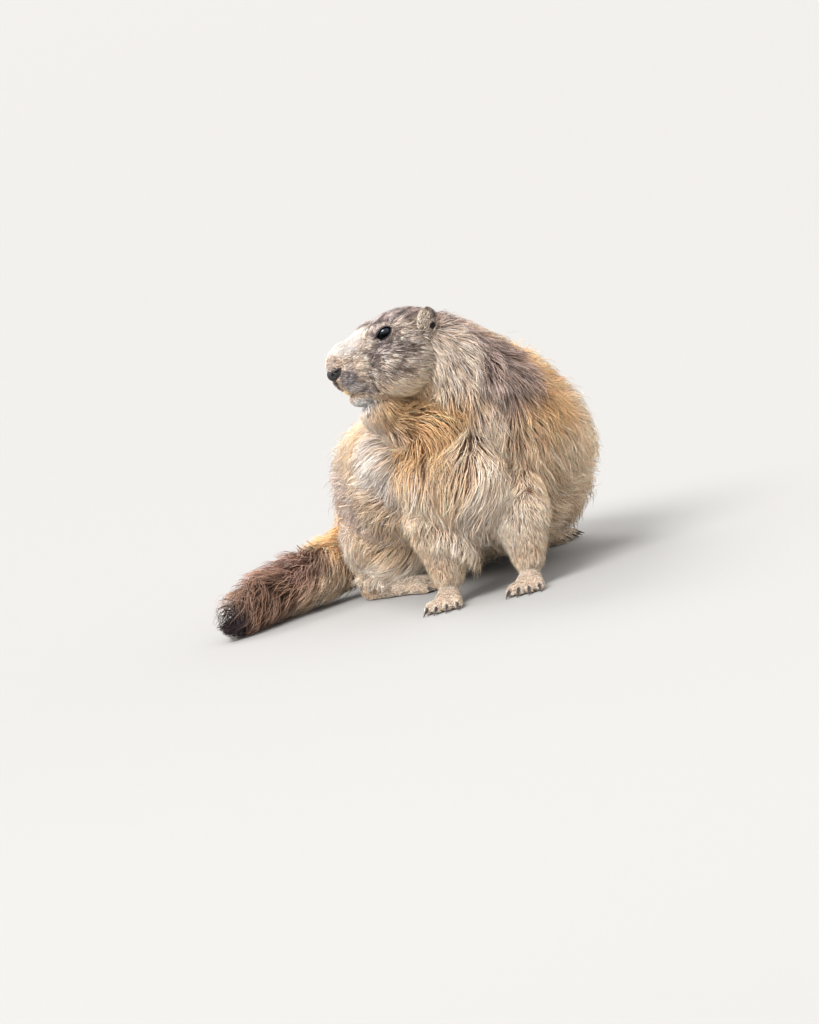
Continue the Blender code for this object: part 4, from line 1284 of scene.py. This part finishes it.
def bow_tree(name):
    """A node tree that stands a bent, tapered rod on every point, along the point's own direction."""
    tree = bpy.data.node_groups.new(name, "GeometryNodeTree")
    kinds = {"Geometry": "Geometry", "Radius": "Float", "Droop": "Float", "Tip": "Float", "Sides": "Int",
             "Material": "Material"}
    sockets = {label: tree.interface.new_socket(name=label, in_out="INPUT", socket_type="NodeSocket" + kind)
               for label, kind in kinds.items()}
    tree.interface.new_socket(name="Geometry", in_out="OUTPUT", socket_type="NodeSocketGeometry")
    given, result = add_node(tree, "NodeGroupInput"), add_node(tree, "NodeGroupOutput")
    end = add_node(tree, "ShaderNodeCombineXYZ", [("X", 1.0)])
    bow = add_node(tree, "GeometryNodeCurveQuadraticBezier",
                   (("Resolution", 10), ("Start", (0, 0, 0)), ("Middle", (0.5, 0, 0))))
    share = add_node(tree, "GeometryNodeSplineParameter")
    taper = add_node(tree, "ShaderNodeMapRange", [("To Min", 1.0)])
    radius = add_node(tree, "GeometryNodeSetCurveRadius")
    outline = add_node(tree, "GeometryNodeCurvePrimitiveCircle")
    rod = add_node(tree, "GeometryNodeCurveToMesh", [("Fill Caps", True)])
    way = add_node(tree, "GeometryNodeInputNamedAttribute", [("Name", "way")], data_type="FLOAT_VECTOR")
    size = add_node(tree, "GeometryNodeInputNamedAttribute", [("Name", "size")], data_type="FLOAT")
    turn = add_node(tree, "FunctionNodeAxesToRotation", [("Secondary Axis", (0, 0, 1))],
                    primary_axis="X", secondary_axis="Z")
    stand = add_node(tree, "GeometryNodeInstanceOnPoints")
    real = add_node(tree, "GeometryNodeRealizeInstances")
    smooth = add_node(tree, "GeometryNodeSetShadeSmooth")
    paint = add_node(tree, "GeometryNodeSetMaterial")
    join(
        tree,
        (given, "Droop", end, "Z"), (end, "Vector", bow, "End"), (bow, "Curve", radius, "Curve"),
        (share, "Factor", taper, "Value"), (given, "Tip", taper, "To Max"),
        (taper, "Result", radius, "Radius"),
        (given, "Sides", outline, "Resolution"), (given, "Radius", outline, "Radius"),
        (radius, "Curve", rod, "Curve"), (outline, "Curve", rod, "Profile Curve"),
        (taper, "Result", rod, "Scale"), (way, "Attribute", turn, "Primary Axis"),
        (turn, "Rotation", stand, "Rotation"), (given, "Geometry", stand, "Points"),
        (rod, "Mesh", stand, "Instance"), (size, "Attribute", stand, "Scale"),
        (stand, "Instances", real, "Geometry"), (real, "Geometry", smooth, "Geometry"),
        (smooth, "Geometry", paint, "Geometry"), (given, "Material", paint, "Material"),
        (paint, "Geometry", result, "Geometry"),
    )
    return tree, {label: socket.identifier for label, socket in sockets.items()}


def grow_bows(name, roots, radius, droop, tip, corners, material):
    """A mesh of bent, tapered rods from (root in metres, direction, length in metres)."""
    mesh = bpy.data.meshes.new(name)
    mesh.from_pydata([root for root, _, _ in roots], [], [])
    mesh.attributes.new("way", "FLOAT_VECTOR", "POINT")
    mesh.attributes.new("size", "FLOAT", "POINT")
    for row, (_, direction, length) in enumerate(roots):
        mesh.attributes["way"].data[row].vector = direction
        mesh.attributes["size"].data[row].value = length
    obj = new_object(name, mesh)
    tree, identifiers = bow_tree(name + "_rods")
    modifier = obj.modifiers.new("rods", "NODES")
    modifier.node_group = tree
    given = {"Radius": radius, "Droop": droop, "Tip": tip, "Sides": corners, "Material": material}
    for label, value in given.items():
        modifier[identifiers[label]] = value
    apply_modifiers(obj)
    return obj


def claw_roots():
    """The root, direction and length of every claw."""
    roots = []
    for foot in FEET.values():
        for root, way, reach in digits_of(foot):
            start = root + way * (reach + 0.2) + UP * DIGIT_RADIUS * 1.15
            roots.append((place(start), way, foot.claw * MM))
    return roots


def whisker_roots(surface, length):
    """The root, direction and length of every whisker, in rows on the muzzle and over the eyes."""
    rng = np.random.default_rng(SEED + 1)
    roots = []

    def grown_from(side, spot, lean, wobble):
        start = surface.find_nearest(place(on_head(sided(spot, side))))[0]
        way = head_axes() @ sided(Vector(lean) + Vector(rng.normal(0, wobble, 3)), side).normalized()
        return start - way * WHISKER_SUNK, way

    for side in SIDES:
        for row in range(4):
            for column in range(5):
                spot = (37 - column * 3.4, 12, -27 - row * 3.8)
                start, way = grown_from(side, spot, (-0.25 - 0.14 * column, 1, -0.12 - 0.12 * row), 0.07)
                roots.append((start, way, length * (0.55 + 0.11 * column) * rng.uniform(0.8, 1.1)))
        for column in range(3):
            start, way = grown_from(side, (-2 + 2.4 * column, 15, 12), (-0.9, 0.5, 0.45), 0.08)
            roots.append((start, way, length * 0.4))
    return roots


def lamp(name, kind, energy, place_at, colour, **settings):
    """A lamp that faces the animal and isn't seen itself."""
    data = bpy.data.lights.new(name, kind)
    data.energy, data.color = energy, colour
    for setting, value in settings.items():
        setattr(data, setting, value)
    obj = new_object(name, data)
    obj.location = place_at
    obj.rotation_euler = (Vector((0, 0, 0.2)) - Vector(place_at)).to_track_quat("-Z", "Y").to_euler()
    obj.visible_camera = False


def make_camera(sizes):
    """The camera at the photograph's angle: a little above, and rolled as the slope was."""
    rise, roll = sizes.camera_rise, sizes.camera_roll
    right, up = Vector((1, 0, 0)), Vector((0, math.sin(rise), math.cos(rise)))
    image_right = right * math.cos(roll) - up * math.sin(roll)
    image_up = up * math.cos(roll) + right * math.sin(roll)
    back = Vector((0, -math.cos(rise), math.sin(rise)))
    across, down = (seen - size / 2 for seen, size in zip(AIM_SEEN_AT, PHOTO_SIZE))
    centre = place(AIM) - (image_right * across - image_up * down) * PIXEL
    data = bpy.data.cameras.new("camera")
    data.sensor_width = 36.0
    data.lens = data.sensor_width * sizes.camera_distance / (PHOTO_SIZE[1] * PIXEL)
    data.clip_end = 100.0
    camera = new_object("camera", data)
    turn = Matrix((image_right, image_up, back)).transposed().to_4x4()
    camera.matrix_world = Matrix.Translation(centre + back * sizes.camera_distance) @ turn
    bpy.context.scene.camera = camera


class MARMOT_OT_skin(bpy.types.Operator):
    """Build the skin under the coat"""

    bl_idname = "marmot.skin"
    bl_label = "Skin"

    def execute(self, context):
        skin = make_skin()
        paint_skin(skin)
        set_material(skin, painted_material("marmot_skin", 0.7, 0.3, (1400, 0.5, 0.0004), 0.75, 1.25))
        finish_piece(skin, FLESH_NODES)
        return {"FINISHED"}


class MARMOT_OT_coat(bpy.types.Operator):
    """Grow the coat on the skin"""

    bl_idname = "marmot.coat"
    bl_label = "Coat"

    def execute(self, context):
        fur = painted_material("marmot_fur", 0.62, 0.28, (900, 0.25, 0.0002), 0.85, 1.15)
        for piece in grow_coat(bpy.data.objects["skin"], fur):
            finish_piece(piece)
        return {"FINISHED"}


class MARMOT_OT_eyes(bpy.types.Operator):
    """Build the eyes"""

    bl_idname = "marmot.eyes"
    bl_label = "Eyes"

    def execute(self, context):
        colour = context.scene.marmot_colours.eye
        material = eye_material()
        for side, name in SIDES.items():
            eye = make_eye(side, f"eyeball_{name}", colour)
            set_material(eye, material)
            finish_piece(eye, (f"eye_{name}",))
        return {"FINISHED"}


class MARMOT_OT_ears(bpy.types.Operator):
    """Build the ears and their short coat"""

    bl_idname = "marmot.ears"
    bl_label = "Ears"

    def execute(self, context):
        rng = np.random.default_rng(SEED + 2)
        for side, ear in EARS.items():
            flap = make_ear(side, ear)
            set_material(flap, bpy.data.materials["marmot_skin"])
            tufts = ear_tufts(flap, side, ear, rng)
            finish_piece(flap, (f"ear_{ear.name}",))
            coat = mesh_piece(f"coat_ear_{ear.name}", [tufts], bpy.data.materials["marmot_fur"])
            finish_piece(coat)
        return {"FINISHED"}


class MARMOT_OT_nose(bpy.types.Operator):
    """Build the nose pad"""

    bl_idname = "marmot.nose"
    bl_label = "Nose"

    def execute(self, context):
        nose = make_nose()
        pad = hide_material("marmot_nose", context.scene.marmot_colours.nose, 0.5, 2600, 0.5, 0.08)
        set_material(nose, pad)
        finish_piece(nose, ("nose",))
        return {"FINISHED"}


class MARMOT_OT_teeth(bpy.types.Operator):
    """Build the upper incisors"""

    bl_idname = "marmot.teeth"
    bl_label = "Teeth"

    def execute(self, context):
        enamel = hide_material("marmot_enamel", context.scene.marmot_colours.tooth, 0.28, 600, 0.15, 0.3)
        for side, name in SIDES.items():
            tooth = make_incisor(side, f"upper_incisor_{name}")
            set_material(tooth, enamel)
            finish_piece(tooth, (f"incisor_{name}",))
        return {"FINISHED"}


class MARMOT_OT_claws(bpy.types.Operator):
    """Build the claws of all four feet"""

    bl_idname = "marmot.claws"
    bl_label = "Claws"

    def execute(self, context):
        horn = hide_material("marmot_claw", context.scene.marmot_colours.claw, 0.38, 1200, 0.2, 0.2)
        claws = grow_bows("claws_all_feet", claw_roots(), 0.17, -0.36, 0.16, 12, horn)
        finish_piece(claws)
        return {"FINISHED"}


class MARMOT_OT_whiskers(bpy.types.Operator):
    """Grow the whiskers of the muzzle and the brows"""

    bl_idname = "marmot.whiskers"
    bl_label = "Whiskers"

    def execute(self, context):
        sizes = context.scene.marmot_sizes
        bristle = hide_material("marmot_whisker", context.scene.marmot_colours.whisker, 0.45, 500, 0.1)
        roots = whisker_roots(surface_tree(bpy.data.objects["skin"]), sizes.whisker_length)
        radius = sizes.whisker_width / sizes.whisker_length / 2
        finish_piece(grow_bows("whiskers", roots, radius, -0.16, 0.15, 5, bristle))
        return {"FINISHED"}


class MARMOT_OT_stage(bpy.types.Operator):
    """Set the floor, the soft light and the camera"""

    bl_idname = "marmot.stage"
    bl_label = "Stage"

    def execute(self, context):
        sizes, colours = context.scene.marmot_sizes, context.scene.marmot_colours
        bm = bmesh.new()
        bmesh.ops.create_grid(bm, x_segments=1, y_segments=1, size=sizes.floor_size / 2)
        floor = object_from(bm, "floor")
        plain = hide_material("floor_plain", colours.floor, 0.95, 4000, 0.02, low=0.97, high=1.03)
        floor.data.materials.append(plain)
        world = bpy.data.worlds.new("soft_light")
        world.use_nodes = True
        light = world.node_tree.nodes["Background"].inputs
        light["Color"].default_value, light["Strength"].default_value = (1.0, 0.98, 0.955, 1), 1.45
        context.scene.world = world
        context.scene.view_settings.view_transform = "Standard"
        lamp("key", "SUN", 3.8, (-1.4, -1.7, 2.6), (1.0, 0.97, 0.93), angle=math.radians(34))
        lamp("rim", "SUN", 1.7, (-1.0, 2.0, 2.2), (1.0, 0.98, 0.96), angle=math.radians(26))
        lamp("catch", "AREA", 12, (-0.5, -2.0, 2.3), (0.85, 0.92, 1.0), size=0.9)
        make_camera(sizes)
        return {"FINISHED"}


class MARMOT_PT_panel(bpy.types.Panel):
    """The steps that build the marmot's looks"""

    bl_idname = "MARMOT_PT_panel"
    bl_label = "Alpine marmot"
    bl_space_type = "VIEW_3D"
    bl_region_type = "UI"
    bl_category = "Marmot"

    def draw(self, context):
        for operator in OPERATORS:
            self.layout.operator(operator.bl_idname)
        for group in (context.scene.marmot_coat, context.scene.marmot_colours, context.scene.marmot_sizes):
            for name in group.bl_rna.properties.keys():
                if name not in {"rna_type", "name"}:
                    self.layout.prop(group, name)


OPERATORS = (
    MARMOT_OT_skin,
    MARMOT_OT_coat,
    MARMOT_OT_eyes,
    MARMOT_OT_ears,
    MARMOT_OT_nose,
    MARMOT_OT_teeth,
    MARMOT_OT_claws,
    MARMOT_OT_whiskers,
    MARMOT_OT_stage,
)
GROUPS = {"marmot_coat": MarmotCoat, "marmot_colours": MarmotColours, "marmot_sizes": MarmotSizes}


def register():
    for name, group in GROUPS.items():
        bpy.utils.register_class(group)
        setattr(bpy.types.Scene, name, PointerProperty(type=group))
    for kind in (*OPERATORS, MARMOT_PT_panel):
        bpy.utils.register_class(kind)


def unregister():
    for kind in (MARMOT_PT_panel, *reversed(OPERATORS)):
        bpy.utils.unregister_class(kind)
    for name, group in GROUPS.items():
        delattr(bpy.types.Scene, name)
        bpy.utils.unregister_class(group)


def main():
    register()
    bpy.ops.marmot.skin()
    bpy.ops.marmot.coat()
    bpy.ops.marmot.eyes()
    bpy.ops.marmot.ears()
    bpy.ops.marmot.nose()
    bpy.ops.marmot.teeth()
    bpy.ops.marmot.claws()
    bpy.ops.marmot.whiskers()
    bpy.ops.marmot.stage()


if __name__ == "__main__":
    main()
